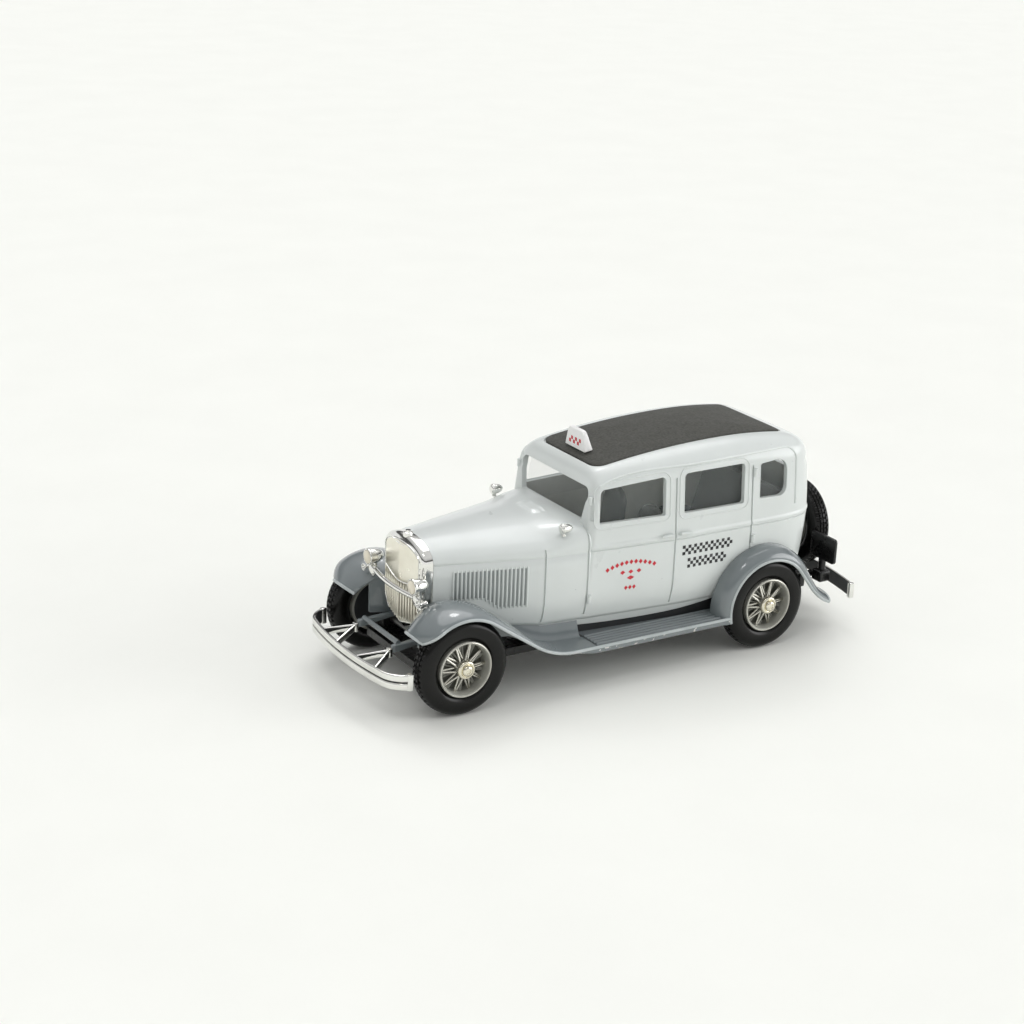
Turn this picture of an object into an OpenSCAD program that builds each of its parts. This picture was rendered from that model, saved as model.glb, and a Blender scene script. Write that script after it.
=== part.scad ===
// Toy taxi: a die-cast saloon of the early 1930s at one forty-third of full size.
// Millimetres. +X points forward, +Y to the car's left and +Z up.
// The origin is on the ground, under the middle of the model's length.

/* [Running gear] */
// Distance between the axles
wheelbase = 62.6; // [60:0.2:66]
// Distance between the middles of the left and right tyres
track = 31.2; // [30.6:0.1:31.8]
// Outer radius of a tyre
tyre_r = 8.4; // [8:0.05:8.6]
// Width of a tyre
tyre_w = 4; // [3.4:0.1:4.2]
// Radius of the wheel where the tyre sits
rim_r = 5.2; // [4.9:0.05:5.5]
// Radius of a wheel's hub
hub_r = 1.45; // [1.3:0.05:1.7]
// Radius of a hub cap
cap_r = 1.6; // [1.4:0.05:1.9]
// Radius of one wire spoke
spoke_r = 0.17; // [0.12:0.01:0.22]
// Pairs of spokes in a wheel
spoke_pairs = 10; // [8:1:12]
// Radius of an axle
axle_r = 0.8; // [0.7:0.05:0.9]
// Gap round an axle in its bearing
bearing_gap = 0.05; // [0.03:0.01:0.08]

/* [Body] */
// Widest part of the body, across the doors
body_w = 29.2; // [28.4:0.1:29.6]
// Width of the body where the hood meets the cowl
cowl_w = 24.2; // [23.4:0.1:25]
// Width of the hood at its front
nose_w = 14; // [13:0.1:15]
// Distance from the front axle forward to the front of the hood
nose_ahead = 0.5; // [0:0.1:1.5]
// Length of the hood
hood_len = 18.8; // [17:0.1:20]
// Length of the cowl, from the hood to the foot of the windscreen
cowl_len = 8.4; // [7.6:0.1:9.2]
// Distance from the rear axle back to the rear panel
tail_behind = 14.5; // [13.5:0.1:15.5]
// Height of the body's lower edge
sill_z = 10.3; // [10:0.1:10.8]
// Height of the belt line
belt_z = 22.9; // [22:0.1:23.6]
// Height of the hood's middle at its front
nose_top_z = 26.3; // [25.6:0.1:27]
// Height of the cowl's middle at the windscreen
cowl_top_z = 27.85; // [27.2:0.05:28.2]
// Height where the upright sides end and the roof's curve begins
wall_top_z = 34.3; // [33.8:0.1:35]
// Highest point of the roof's edge
roof_edge_z = 38.5; // [37.6:0.1:39.5]
// Rise of the roof's middle above its edge
roof_crown = 0.9; // [0.4:0.1:1.4]
// Thickness of the body's wall
wall = 1; // [0.8:0.05:1.1]
// How far the sides lean in between the belt line and the roof
tumble = 0.75; // [0.4:0.05:1.1]
// How far the sides turn in at the lower edge
turn_in = 1.1; // [0.6:0.05:1.5]
// How far the rear panel tucks in below the belt line
tuck = 2.2; // [1:0.1:3]

/* [Openings and joints of the body] */
// Height of the lower edge of the side windows
window_low_z = 27.5; // [27:0.1:28]
// Height of the upper edge of the rear door's window
window_top_z = 34.6; // [34:0.1:35]
// Length of the front door
front_door_len = 17; // [16:0.1:17.6]
// Length of the rear door
rear_door_len = 16.4; // [15.6:0.1:16.8]
// Width of the windscreen opening at its foot
screen_w = 19.2; // [18:0.1:19.8]
// Width of the grooves round the doors
groove_w = 0.32; // [0.2:0.02:0.5]
// Depth of the grooves round the doors
groove_d = 0.22; // [0.15:0.01:0.3]
// Louvers on each side of the hood
louver_count = 19; // [12:1:22]
// Length of the row of louvers
louver_row = 12.5; // [11:0.1:13]
// How far a louver stands out
louver_h = 0.28; // [0.2:0.02:0.4]

/* [Roof panel and sign] */
// Width of the roof panel
panel_w = 18; // [17:0.1:19]
// Distance from the windscreen's foot back to the roof panel
panel_back = 2.9; // [2.5:0.1:3.5]
// Length of the roof panel
panel_len = 40.4; // [39:0.1:41]
// Depth of the recess that holds the roof panel
panel_recess = 0.35; // [0.25:0.05:0.45]
// How far the roof panel stands above the roof
panel_proud = 0.15; // [0.1:0.05:0.3]
// Width of the roof sign at its foot
sign_w = 6.2; // [5:0.1:7]
// Height of the roof sign
sign_h = 3.5; // [2.8:0.1:4]
// Thickness of the roof sign at its foot
sign_t = 1.7; // [1.4:0.1:2]

/* [Fenders and running boards] */
// Half of the width across the fenders' outer edges
lip_y = 18.1; // [17.9:0.05:18.6]
// Gap between a front tyre and its fender's edge, seen from the side
front_arch_gap = 0.5; // [0.4:0.05:0.9]
// Gap between a rear tyre and its fender's edge, seen from the side
rear_arch_gap = 0.3; // [0.25:0.05:0.6]
// Rise of a front fender's crown above its edge
front_crown = 1.1; // [0.8:0.05:1.4]
// Rise of a rear fender's crown above its edge
rear_crown = 2.1; // [1.6:0.05:2.3]
// Thickness of the fenders
fender_t = 0.6; // [0.5:0.05:0.7]
// Height of the running boards' upper side
board_z = 7.6; // [7.2:0.1:8]
// Height of the running boards' turned-down edge
edge_drop = 1.1; // [0.8:0.05:1.4]
// Ribs on a running board
board_ribs = 5; // [3:1:6]

/* [Brightwork] */
// Width of the front bumper
front_bumper_w = 31.6; // [31:0.2:31.8]
// Width of the rear bumper
rear_bumper_w = 33.6; // [32:0.2:35]
// Distance from the front axle forward to the front bumper's face
front_overhang = 14.1; // [13.6:0.1:14.6]
// Distance from the rear axle back to the rear bumper's face
rear_overhang = 22.6; // [22.4:0.1:24]
// Height of a bumper's blade
bumper_h = 2.7; // [2.2:0.1:3]
// Thickness of a bumper's blade
bumper_t = 0.8; // [0.6:0.05:1]
// Height of the middle of the bumpers
bumper_z = 7.35; // [7.1:0.05:7.6]
// Depth of the radiator shell from front to back
shell_d = 2.6; // [2.2:0.1:2.8]
// Height of the radiator shell's pointed foot
shell_low_z = 9.8; // [9.4:0.1:10.6]
// Vertical bars in the grille
grille_bars = 15; // [9:2:19]
// Distance between the middles of the headlamps
lamp_gap = 15.6; // [15:0.1:16.2]
// Height of the headlamps
lamp_z = 20.3; // [19.8:0.1:21]
// Outer radius of a headlamp
lamp_r = 1.45; // [1.3:0.05:1.6]
// Outer radius of a cowl lamp
cowl_lamp_r = 0.95; // [0.8:0.05:1.1]

/* [Base and fastenings] */
// Thickness of the base plate
base_t = 1.4; // [1.2:0.1:1.8]
// Height of the base plate's underside
base_z = 5.1; // [4.8:0.1:5.4]
// Width of the base plate
base_w = 19; // [17:0.2:21]
// Radius of a base screw's shank
screw_r = 0.7; // [0.6:0.05:0.8]
// Distance between the two base screws
screw_gap = 24; // [20:0.5:26]
// Radius of the holes for screws from a display stand
stand_hole_r = 1.25; // [1:0.05:1.5]
// Distance between the holes for a display stand
stand_hole_gap = 40; // [36:0.5:42]

/* [Hidden] */
$fn = 48;

// Colours
BODY_PAINT = [0.80, 0.83, 0.85];
FENDER_PAINT = [0.42, 0.47, 0.52];
ROOF_FABRIC = [0.24, 0.24, 0.23];
CHROME = [0.85, 0.85, 0.84];
BLACK_PLASTIC = [0.06, 0.06, 0.06];
TRIM_GREY = [0.30, 0.30, 0.29];
CLEAR = [0.85, 0.92, 0.95, 0.35];

// Gaps between pieces that are fixed to each other
fit_gap = 0.05;
seat_gap = 0.15;

// Places along the car, measured from the middle of the wheelbase
front_axle_x = wheelbase / 2;
rear_axle_x = -wheelbase / 2;
nose_x = front_axle_x + nose_ahead;
cowl_x = nose_x - hood_len;
screen_x = cowl_x - cowl_len;
tail_x = rear_axle_x - tail_behind;
front_reach = front_axle_x + front_overhang;
rear_reach = rear_axle_x - rear_overhang;
middle_x = (front_reach + rear_reach) / 2;
panel_front_x = screen_x - panel_back;
panel_rear_x = panel_front_x - panel_len;
roof_peak_x = panel_front_x - 0.67 * panel_len;
door_front_x = screen_x + 0.3;
door_middle_x = door_front_x - front_door_len;
door_rear_x = door_middle_x - rear_door_len;

// Moves a piece from the middle of the wheelbase to the middle of the whole length
module placed() { translate([-middle_x, 0, 0]) children(); }
// A piece and its mirror image on the car's right
module both_sides() {
    children();
    mirror([0, 1, 0]) children();
}

// Straight blend from a to b, and the part of the way limited to 0 to 1
function mix(a, b, t) = a + (b - a) * t;
function part(t) = max(0, min(1, t));
function eased(t) = let (s = part(t)) s * s * (3 - 2 * s);
function power(base, exponent) = pow(max(base, 0), exponent);

// Closed solid through rings of points; all rings have the same number of points.
// Each end is closed by a fan about the ring's middle, or for a strip-like ring by joining its two edges.
module loft(rings, strip = false) {
    count = len(rings[0]);
    last = len(rings) - 1;
    total = count * (last + 1);
    middles = [for (i = [0, last]) [for (k = [0:2]) sum_of(rings[i], k) / count]];
    sides = [for (i = [0:last - 1], j = [0:count - 1]) let (
        a = i * count + j,
        b = i * count + (j + 1) % count,
        c = a + count,
        d = b + count
    ) each [[a, b, d], [a, d, c]]];
    fans = [for (j = [0:count - 1]) let (k = (j + 1) % count)
        each [[total, k, j], [total + 1, last * count + j, last * count + k]]];
    strips = [for (j = [0:count / 2 - 2]) let (m = count - 1 - j, up = last * count)
        each [[j + 1, j, m], [j + 1, m, m - 1], [up + j, up + j + 1, up + m], [up + m, up + j + 1, up + m - 1]]];
    polyhedron(concat([for (ring = rings) each ring], strip ? [] : middles),
        concat(sides, strip ? strips : fans), convexity = 8);
}
function sum_of(points, axis, i = 0) = i < len(points) ? points[i][axis] + sum_of(points, axis, i + 1) : 0;

// Cylinder from one point to another
module rod(p, q, r) {
    v = q - p;
    translate(p)
        rotate([0, acos(v[2] / norm(v)), atan2(v[1], v[0])])
            cylinder(h = norm(v), r = r);
}

// Turns a piece made about Z so that its axis lies along +Y or +X
module along_y() { rotate([-90, 0, 0]) children(); }
module along_x() { rotate([0, 90, 0]) children(); }

// Body form: half of the width at the belt line, along the car
swell_len = 28;
function belt_half(x) = x > cowl_x
    ? mix(cowl_w, nose_w, (x - cowl_x) / hood_len) / 2
    : mix(body_w, cowl_w, power(1 - (cowl_x - x) / swell_len, 1.15)) / 2;

// How far the side lies inside the belt line's width at a height
turn_z = sill_z + 5.7;
function side_in(z) = z < turn_z
    ? turn_in * power((turn_z - z) / (turn_z - sill_z), 2)
    : tumble * part((z - belt_z) / (wall_top_z - belt_z));

// Rear panel and windscreen planes at a height
tail_lean = 0.9;
screen_lean = 0.09;
function tail_at(z) = z < belt_z
    ? tail_x + tuck * power((belt_z - z) / (belt_z - sill_z), 1.4)
    : tail_x + tail_lean * power((z - belt_z) / (wall_top_z - belt_z), 2);
function screen_at(z) = screen_x - screen_lean * (z - cowl_top_z);

// Drop of the roof's edge ahead of and behind its highest point
roof_front_drop = 2.2;
roof_rear_drop = 0.95;
function roof_drop(x) = x > roof_peak_x
    ? roof_front_drop * pow((x - roof_peak_x) / (panel_front_x - roof_peak_x), 2)
    : roof_rear_drop * pow((x - roof_peak_x) / (panel_rear_x - roof_peak_x), 2);

// Plan outline of the cabin's left half, from the middle of the windscreen to the middle of the tail.
// level is [height, share of the way from the upright wall to the roof panel's edge].
SIDE_STEPS = 7;
TAIL_STEPS = 7;
CORNER_STEPS = 3;
screen_corner_r = 1.5;
panel_corner_r = 2.2;
arch_from_z = 31;
function cabin_half_outline(level, inset) = let (
    z = level[0],
    m = level[1],
    wall_z = min(z, wall_top_z),
    front = mix(screen_at(wall_z) - inset, panel_front_x - inset, m),
    rear = mix(tail_at(wall_z) + inset, panel_rear_x + inset, m),
    corner = mix(screen_corner_r, panel_corner_r, m),
    bend = mix(tail_x + 12.8, panel_rear_x + 3, m),
    squareness = mix(3.2, 8, m),
    side_from = front - corner
) concat(
    [for (k = [0, 0.55]) [front, k * (cabin_half_at(front, wall_z, m) - corner - inset)]],
    [for (i = [0:CORNER_STEPS - 1]) let (
        a = 90 * i / CORNER_STEPS,
        y = cabin_half_at(side_from, wall_z, m) - inset
    ) [side_from + corner * cos(a), y - corner + corner * sin(a)]],
    [for (i = [0:SIDE_STEPS - 1]) let (x = mix(side_from, bend, i / SIDE_STEPS))
        [x, cabin_half_at(x, wall_z, m) - inset]],
    [for (i = [0:TAIL_STEPS]) let (
        a = 90 * i / TAIL_STEPS,
        y = cabin_half_at(bend, wall_z, m) - inset
    ) [bend - (bend - rear) * power(sin(a), 2 / squareness), y * power(cos(a), 2 / squareness)]]
);
function cabin_half_at(x, z, m) = mix(belt_half(x) - side_in(z), panel_w / 2, m);

// Full ring from a half outline: its mirror image on the right, then its own inner points back to the front
function full_ring(half) = concat([for (p = half) [p[0], -p[1]]], [for (i = [len(half) - 2:-1:1]) half[i]]);

// Ring of the cabin at a level, arched with the roof
function cabin_ring(level, inset) = let (
    arch = part((level[0] - arch_from_z) / (wall_top_z - arch_from_z))
) [for (p = full_ring(cabin_half_outline(level, inset)))
    [p[0], p[1], level[0] - arch * roof_drop(p[0]) - (level[1] > 0 ? inset * level[1] : 0)]];

// Ring inside the roof panel's edge, k of the way from the roof's middle to that edge
function panel_ring(k, inset, lift) = let (
    edge = cabin_ring([roof_edge_z, 1], inset),
    centre_x = (panel_front_x + panel_rear_x) / 2
) [for (p = edge) let (x = mix(centre_x, p[0], k))
    [x, k * p[1], roof_edge_z - roof_drop(x) - inset + lift + roof_crown * (1 - k * k)]];

ROOF_STEPS = 5;
PANEL_RINGS = [0.7, 0.4, 0.05];
wall_levels = [for (z = [sill_z, sill_z + 1.6, sill_z + 3.4, turn_z, belt_z, 27, 30, 32.2, wall_top_z]) [z, 0]];
roof_levels = [for (i = [1:ROOF_STEPS]) let (a = 90 * i / ROOF_STEPS)
    [mix(wall_top_z, roof_edge_z, sin(a)), 1 - cos(a)]];

// Solid form of the cabin, inset from its outer face; recess lowers the roof inside the panel's edge
module cabin_form(inset = 0, recess = 0, extra = 0) {
    foot = [for (p = cabin_ring(wall_levels[0], inset)) [p[0], p[1], sill_z - extra]];
    loft(concat(
        extra > 0 ? [foot] : [],
        [for (level = concat(wall_levels, roof_levels)) cabin_ring(level, inset)],
        recess > 0 ? [panel_ring(0.995, inset, -recess)] : [],
        [for (k = PANEL_RINGS) panel_ring(k, inset, -recess)]
    ));
}

// Hood and cowl: section at x from the left foot over the top to the right foot
HOOD_ARC = 9;
hood_rise = 2;
function hood_low(x) = sill_z + 0.06 + hood_rise * part((x - cowl_x) / hood_len);
function hood_top(x) = mix(cowl_top_z, nose_top_z, part((x - screen_x) / (nose_x - screen_x)));
function hood_squareness(x) = mix(3.8, 2.3, eased((x - screen_x) / cowl_len));
function hood_section(x, inset) = let (
    w = belt_half(x) - inset,
    top = hood_top(x) - inset,
    low = hood_low(x),
    n = hood_squareness(x)
) concat(
    [for (z = [low, low + 1.6, turn_z]) [x, w - side_in(z), z]],
    [for (i = [0:HOOD_ARC]) let (a = 90 * i / HOOD_ARC)
        [x, w * power(cos(a), 2 / n), belt_z + (top - belt_z) * power(sin(a), 2 / n)]]
);
function hood_ring(x, inset) = let (half = hood_section(x, inset))
    concat(half, [for (i = [len(half) - 2:-1:0]) [x, -half[i][1], half[i][2]]]);

hood_stations = [nose_x, mix(nose_x, cowl_x, 0.33), mix(nose_x, cowl_x, 0.67), cowl_x,
    mix(cowl_x, screen_x, 0.35), mix(cowl_x, screen_x, 0.7), screen_x + 0.3, screen_x];
module hood_form(inset = 0, front_wall = 0, extra = 0) {
    rings = [for (x = hood_stations) hood_ring(min(x, nose_x - front_wall), inset)];
    sunk = [for (p = hood_ring(screen_x, inset + 0.4)) p - [0.7, 0, 0]];
    lowered = [for (ring = concat(rings, [sunk])) [for (p = ring)
        p[2] < hood_low(p[0]) + 0.01 ? p - [0, 0, extra] : p]];
    loft(lowered);
}

// Outline of a window with rounded corners: corners run round the opening, r is each corner's radius
module window_cut(corners, r, depth) {
    rotate([90, 0, 0])
        translate([0, 0, -depth])
            hull()
                for (i = [0:len(corners) - 1])
                    translate(corners[i])
                        cylinder(h = 2 * depth, r = r[i], $fn = 12);
}

// Side windows: each corner's circle lies inside the opening
pillar = 2;
front_window = let (front = door_front_x - 1.9, rear = door_middle_x + pillar) [
    [front - 0.4, window_low_z + 0.4], [rear + 0.4, window_low_z + 0.4],
    [rear + 0.9, window_top_z - 1], [front - 1.3, window_top_z - 2.1]
];
rear_window = let (front = door_middle_x - 1.6, rear = door_rear_x + 1.7) [
    [front - 0.4, window_low_z + 0.3], [rear + 0.6, window_low_z + 0.4],
    [rear + 0.9, window_top_z - 0.7], [front - 0.9, window_top_z - 0.8]
];
quarter_window = let (front = door_rear_x - 1.6, rear = door_rear_x - 7.8) [
    [front - 0.4, window_low_z + 0.5], [rear + 1.8, window_low_z + 1.8],
    [rear + 2.4, window_top_z - 2.5], [front - 0.5, window_top_z - 0.9]
];
back_window_z = 30.8;
back_window_w = 13;
back_window_h = 4.4;

module window_openings() {
    deep = body_w;
    window_cut(front_window, [0.4, 0.4, 0.9, 1.1], deep);
    window_cut(rear_window, [0.4, 0.6, 0.9, 0.9], deep);
    window_cut(quarter_window, [0.4, 1.8, 2.4, 0.5], deep);
    // Windscreen
    hull()
        both_sides() {
            translate([screen_x, screen_w / 2 - 0.5, cowl_top_z + 0.15])
                along_x() cylinder(h = 6, r = 0.5, center = true, $fn = 12);
            translate([screen_x, screen_w / 2 - 0.3, wall_top_z - 1.95])
                along_x() cylinder(h = 6, r = 1.2, center = true, $fn = 12);
        }
    // Rear window
    hull()
        both_sides()
            for (up = [-1, 1])
                translate([tail_x, back_window_w / 2 - 1.2, back_window_z + up * (back_window_h / 2 - 1.2)])
                    along_x() cylinder(h = 8, r = 1.2, center = true, $fn = 12);
}

// Grooves between the doors and behind the hood: thin blades that follow the skin from one height to another
function skin_half(x, z) = x < cowl_x - 0.1 || z < belt_z
    ? belt_half(x) - side_in(z)
    : belt_half(x) * power(1 - power((z - belt_z) / (hood_top(x) - belt_z), hood_squareness(x)), 1 / hood_squareness(x));
groove_levels = [11.3, 13.1, 16.4, 20.1, 24.2, 27.3, 30.6, 33.9];
module groove(x, low, high) {
    levels = concat([low], [for (z = groove_levels) if (z > low + 0.2 && z < high - 0.2) z], [high]);
    last = len(levels) - 1;
    loft([for (at = [x + groove_w / 2, x - groove_w / 2]) concat(
        [for (z = levels) [at, skin_half(at, z) + 0.6, z]],
        [for (i = [last:-1:0]) [at, skin_half(at, levels[i]) - groove_d, levels[i]]]
    )], strip = true);
}
module panel_grooves() {
    high = wall_top_z - 0.3;
    both_sides() {
        groove(cowl_x, sill_z + 0.7, belt_z + 1.4);
        groove(door_front_x, sill_z + 1.1, cowl_top_z + 3.3);
        groove(door_middle_x, sill_z + 0.7, high);
        groove(door_rear_x, turn_z + 2.1, high);
    }
}

// One louver and the row of them on the left side of the hood
louver_top_z = belt_z - 1.1;
louver_rear_x = cowl_x + 2.8;
louver_low_front_z = 16.4;
louver_low_rear_z = 14.4;
module louver(x, low) {
    y = belt_half(x) - 0.12;
    angle = -atan2(cowl_w - nose_w, 2 * hood_len);
    size = 0.36;
    hull() {
        for (z = [low, louver_top_z - size])
            translate([x, y, z]) rotate([0, 0, angle]) cube([size, 0.1, size]);
        translate([x, y, low + 0.3]) rotate([0, 0, angle])
            cube([size / 2, louver_h + 0.12, louver_top_z - low - 0.9]);
    }
}
module louver_rows() {
    both_sides()
        for (i = [0:louver_count - 1]) {
            t = i / (louver_count - 1);
            x = louver_rear_x + t * louver_row;
            louver(x, mix(louver_low_rear_z, louver_low_front_z, eased((t - 0.35) / 0.3)));
        }
}

// Door handles and hinges cast on the body
module door_fittings() {
    y_mid = belt_half(door_middle_x);
    handle_z = belt_z + 0.9;
    both_sides() {
        for (way = [1, -1])
            hull() {
                translate([door_middle_x + way * 0.9, y_mid - 0.1, handle_z]) sphere(r = 0.35, $fn = 8);
                translate([door_middle_x + way * 0.9, y_mid + 0.45, handle_z]) sphere(r = 0.32, $fn = 8);
                translate([door_middle_x + way * 3.1, y_mid + 0.4, handle_z - 0.1]) sphere(r = 0.28, $fn = 8);
            }
        for (hinge = [[door_front_x, sill_z + 4], [door_front_x - 1.55, cowl_top_z + 3.9],
                      [door_rear_x, sill_z + 10.3], [door_rear_x, wall_top_z - 1.6]]) {
            y = belt_half(hinge[0]) - side_in(hinge[1]);
            translate([hinge[0] - 0.45, y - 0.07, hinge[1] - 0.6]) cylinder(h = 1.2, r = 0.36, $fn = 8);
        }
    }
}

// Room for the rear wheels, and the higher lower edge behind them
arch_gap = 0.9;
tail_low_z = sill_z + 3.3;
module wheel_room() {
    both_sides()
        translate([rear_axle_x, track / 2 - tyre_w / 2 - arch_gap, tyre_r])
            along_y() cylinder(h = tyre_w + 4, r = tyre_r + arch_gap);
    translate([tail_x - 1, -body_w, sill_z - 2])
        cube([rear_axle_x - tail_x - 6.3, 2 * body_w, tail_low_z - sill_z + 2]);
}

module body_shell() {
    color(BODY_PAINT) placed() {
        difference() {
            union() {
                cabin_form(recess = panel_recess);
                hood_form();
            }
            cabin_form(inset = wall, extra = 1);
            hood_form(inset = wall, front_wall = wall, extra = 1);
            window_openings();
            wheel_room();
            panel_grooves();
        }
        louver_rows();
        door_fittings();
    }
}

// Roof panel: a thin crowned sheet that lies in the roof's recess
module roof_insert() {
    edge = 0.985;
    lower = [for (k = [0.05, 0.4, 0.7, edge]) panel_ring(k, 0, fit_gap - panel_recess)];
    upper = [for (k = [edge, 0.7, 0.4, 0.05]) panel_ring(k, 0, panel_proud)];
    color(ROOF_FABRIC) placed() loft(concat(lower, upper));
}

// Roof sign: a wedge with a narrower, rounded top that leans with the roof
module roof_sign() {
    x = panel_front_x - 2.4;
    slope = 2 * roof_front_drop * (x - roof_peak_x) / pow(panel_front_x - roof_peak_x, 2);
    foot_z = roof_edge_z - roof_drop(x) + roof_crown * 0.36 + panel_proud;
    top_r = 0.8;
    color("white") placed()
        translate([x, 0, foot_z + fit_gap])
            rotate([0, atan(slope), 0])
                hull() {
                    translate([-sign_t / 2, -sign_w / 2, 0]) cube([sign_t, sign_w, 0.5]);
                    for (side = [-1, 1])
                        translate([-0.1, side * (sign_w * 0.34 - top_r), sign_h - top_r])
                            along_x() cylinder(h = sign_t * 0.55, r = top_r, center = true, $fn = 24);
                }
}

// Clear moulding behind the windows: a band that follows the inside of the cabin
glazing_t = 0.4;
module window_glazing() {
    low_z = belt_z + 1.2;
    levels = [[low_z, 0], [27, 0], [30, 0], [32.2, 0], [wall_top_z, 0], roof_levels[0]];
    outer = [for (level = levels) cabin_ring(level, wall + fit_gap)];
    inner = [for (i = [len(levels) - 1:-1:0]) cabin_ring(levels[i], wall + fit_gap + glazing_t)];
    rings = concat(outer, inner);
    count = len(rings[0]);
    total = len(rings);
    faces = [for (i = [0:total - 1], j = [0:count - 1]) let (
        a = i * count + j,
        b = i * count + (j + 1) % count,
        c = ((i + 1) % total) * count + j,
        d = ((i + 1) % total) * count + (j + 1) % count
    ) each [[a, b, d], [a, d, c]]];
    color(CLEAR) placed() polyhedron([for (ring = rings) each ring], faces, convexity = 6);
}

// Interior: floor, seats and dashboard in one moulding
floor_t = 0.6;
floor_top_z = sill_z - seat_gap;
floor_half = body_w / 2 - turn_in - 0.6;
tub_low_z = floor_top_z + fit_gap;
tub_half = floor_half - wall;
bench_x = rear_axle_x - 1.2;
bucket_x = door_middle_x + 1.2;
steering_y = 5.6;
dash_leg_x = screen_x - 4;
dash_leg_w = 2.4;
module rounded_block(size, r) {
    hull()
        for (x = [r, size[0] - r], y = [r, size[1] - r], z = [r, size[2] - r])
            translate([x, y, z]) sphere(r = r, $fn = 8);
}
module bucket_seat() {
    // Cushion
    translate([bucket_x - 0.4, -2.9, tub_low_z + 1]) rounded_block([6.4, 5.8, 4.6], 0.8);
    // Back with a round top
    translate([bucket_x, 0, 0])
        hull() {
            translate([-1.8, -2.9, tub_low_z + 2]) cube([1.8, 5.8, 1]);
            translate([-2, 0, belt_z + 0.6]) along_x() cylinder(h = 1.6, r = 2.9, center = true, $fn = 24);
        }
}
tub_floor_t = 1.2;
tub_front_x = screen_x - 2.5;
module tub_floor_outline() {
    front_half = belt_half(tub_front_x) - turn_in - wall - seat_gap;
    outline = [[tub_front_x, front_half], [door_middle_x, tub_half], [bench_x, tub_half],
               [tail_x + 5.5, tub_half - 1.2]];
    polygon(concat(outline, [for (i = [len(outline) - 1:-1:0]) [outline[i][0], -outline[i][1]]]));
}
module interior_tub() {
    color(TRIM_GREY) placed() {
        translate([0, 0, tub_low_z]) linear_extrude(tub_floor_t) tub_floor_outline();
        for (side = [-1, 1])
            translate([0, side * steering_y, 0]) bucket_seat();
        // Rear bench and its back
        translate([bench_x - 1, -tub_half + 0.3, tub_low_z + 0.8]) rounded_block([8.4, 2 * tub_half - 0.6, 6], 1);
        hull() {
            translate([bench_x - 3.2, -tub_half + 0.3, tub_low_z + 1]) cube([3, 2 * tub_half - 0.6, 1]);
            translate([bench_x - 6.4, -tub_half + 1, belt_z + 3]) cube([1.6, 2 * tub_half - 2, 0.8]);
        }
        // Dashboard
        hull() {
            translate([screen_x - 4.2, -10.4, belt_z - 1]) cube([1.2, 20.8, 3]);
            translate([screen_x - 3.2, -10.4, belt_z - 1.6]) cube([0.6, 20.8, 4.6]);
        }
        both_sides()
            translate([dash_leg_x, steering_y - dash_leg_w / 2, tub_low_z + 1])
                cube([1, dash_leg_w, belt_z - tub_low_z - 1.5]);
    }
}

// Steering wheel on its column, which runs forward and down to the dashboard's leg
column_rake = 35;
column_back = 3.2;
column_r = 0.4;
steering_r = 3.3;
module steering_wheel() {
    column_len = (column_back - column_r * sin(column_rake) - 0.1) / cos(column_rake);
    color(BLACK_PLASTIC) placed()
        translate([dash_leg_x - column_back, steering_y, belt_z - 0.2])
            rotate([0, 90 + column_rake, 0]) {
                rotate_extrude() translate([steering_r, 0]) circle(r = 0.32, $fn = 16);
                cylinder(h = 0.7, r = 0.75, center = true);
                for (turn = [0:120:240])
                    rotate([0, 0, turn]) along_x() cylinder(h = steering_r, r = 0.2, $fn = 16);
                cylinder(h = column_len, r = column_r);
            }
}

// Inner edge of the running boards
board_in_y = body_w / 2 - 1.2;

// Side view of a fender: points [x, z] along its outer edge, from front to rear
ARCH_STEPS = 12;
SWEEP_STEPS = 7;
sweep_angle = 34;
sweep_r = 14;
front_tip_angle = 36;
front_lip_r = tyre_r + front_arch_gap;
rear_lip_r = tyre_r + rear_arch_gap;
function arc_points(centre, r, from, to, steps) = [for (i = [0:steps]) let (a = mix(from, to, i / steps))
    [centre[0] + r * cos(a), centre[1] + r * sin(a)]];
foot_angle = asin((board_z - edge_drop - tyre_r) / rear_lip_r);
board_rear_x = rear_axle_x + rear_lip_r * cos(foot_angle);
board_end_x = rear_axle_x + sqrt(pow(rear_lip_r, 2) - pow(board_z - tyre_r, 2));
sweep_start = [front_axle_x, tyre_r] + front_lip_r * [cos(90 + sweep_angle), sin(90 + sweep_angle)];
sweep_run = (sweep_start[1] - board_z - sweep_r * (1 - cos(sweep_angle))) / sin(sweep_angle);
board_front_x = sweep_start[0] - sweep_run * cos(sweep_angle) - sweep_r * sin(sweep_angle);
front_path = concat(
    arc_points([front_axle_x, tyre_r], front_lip_r, front_tip_angle, 90 + sweep_angle, ARCH_STEPS),
    [for (t = [0.33, 0.67]) sweep_start - t * sweep_run * [cos(sweep_angle), sin(sweep_angle)]],
    arc_points([board_front_x, board_z + sweep_r], sweep_r, 270 + sweep_angle, 270, SWEEP_STEPS),
    [[board_end_x, board_z]]
);
tail_angle = 52;
tail_flat = 24;
tail_run = 4.2;
tail_r = 14;
tail_start = [rear_axle_x, tyre_r] + rear_lip_r * [cos(90 + tail_angle), sin(90 + tail_angle)];
tail_bend = tail_start - tail_run * [cos(tail_angle), sin(tail_angle)];
rear_path = concat(
    arc_points([rear_axle_x, tyre_r], rear_lip_r, foot_angle, 90 + tail_angle, ARCH_STEPS + 2),
    [for (i = [0:SWEEP_STEPS - 2]) let (a = mix(tail_angle, tail_flat, i / (SWEEP_STEPS - 2)))
        tail_bend - tail_r * [sin(tail_angle) - sin(a), cos(a) - cos(tail_angle)]]
);

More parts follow.
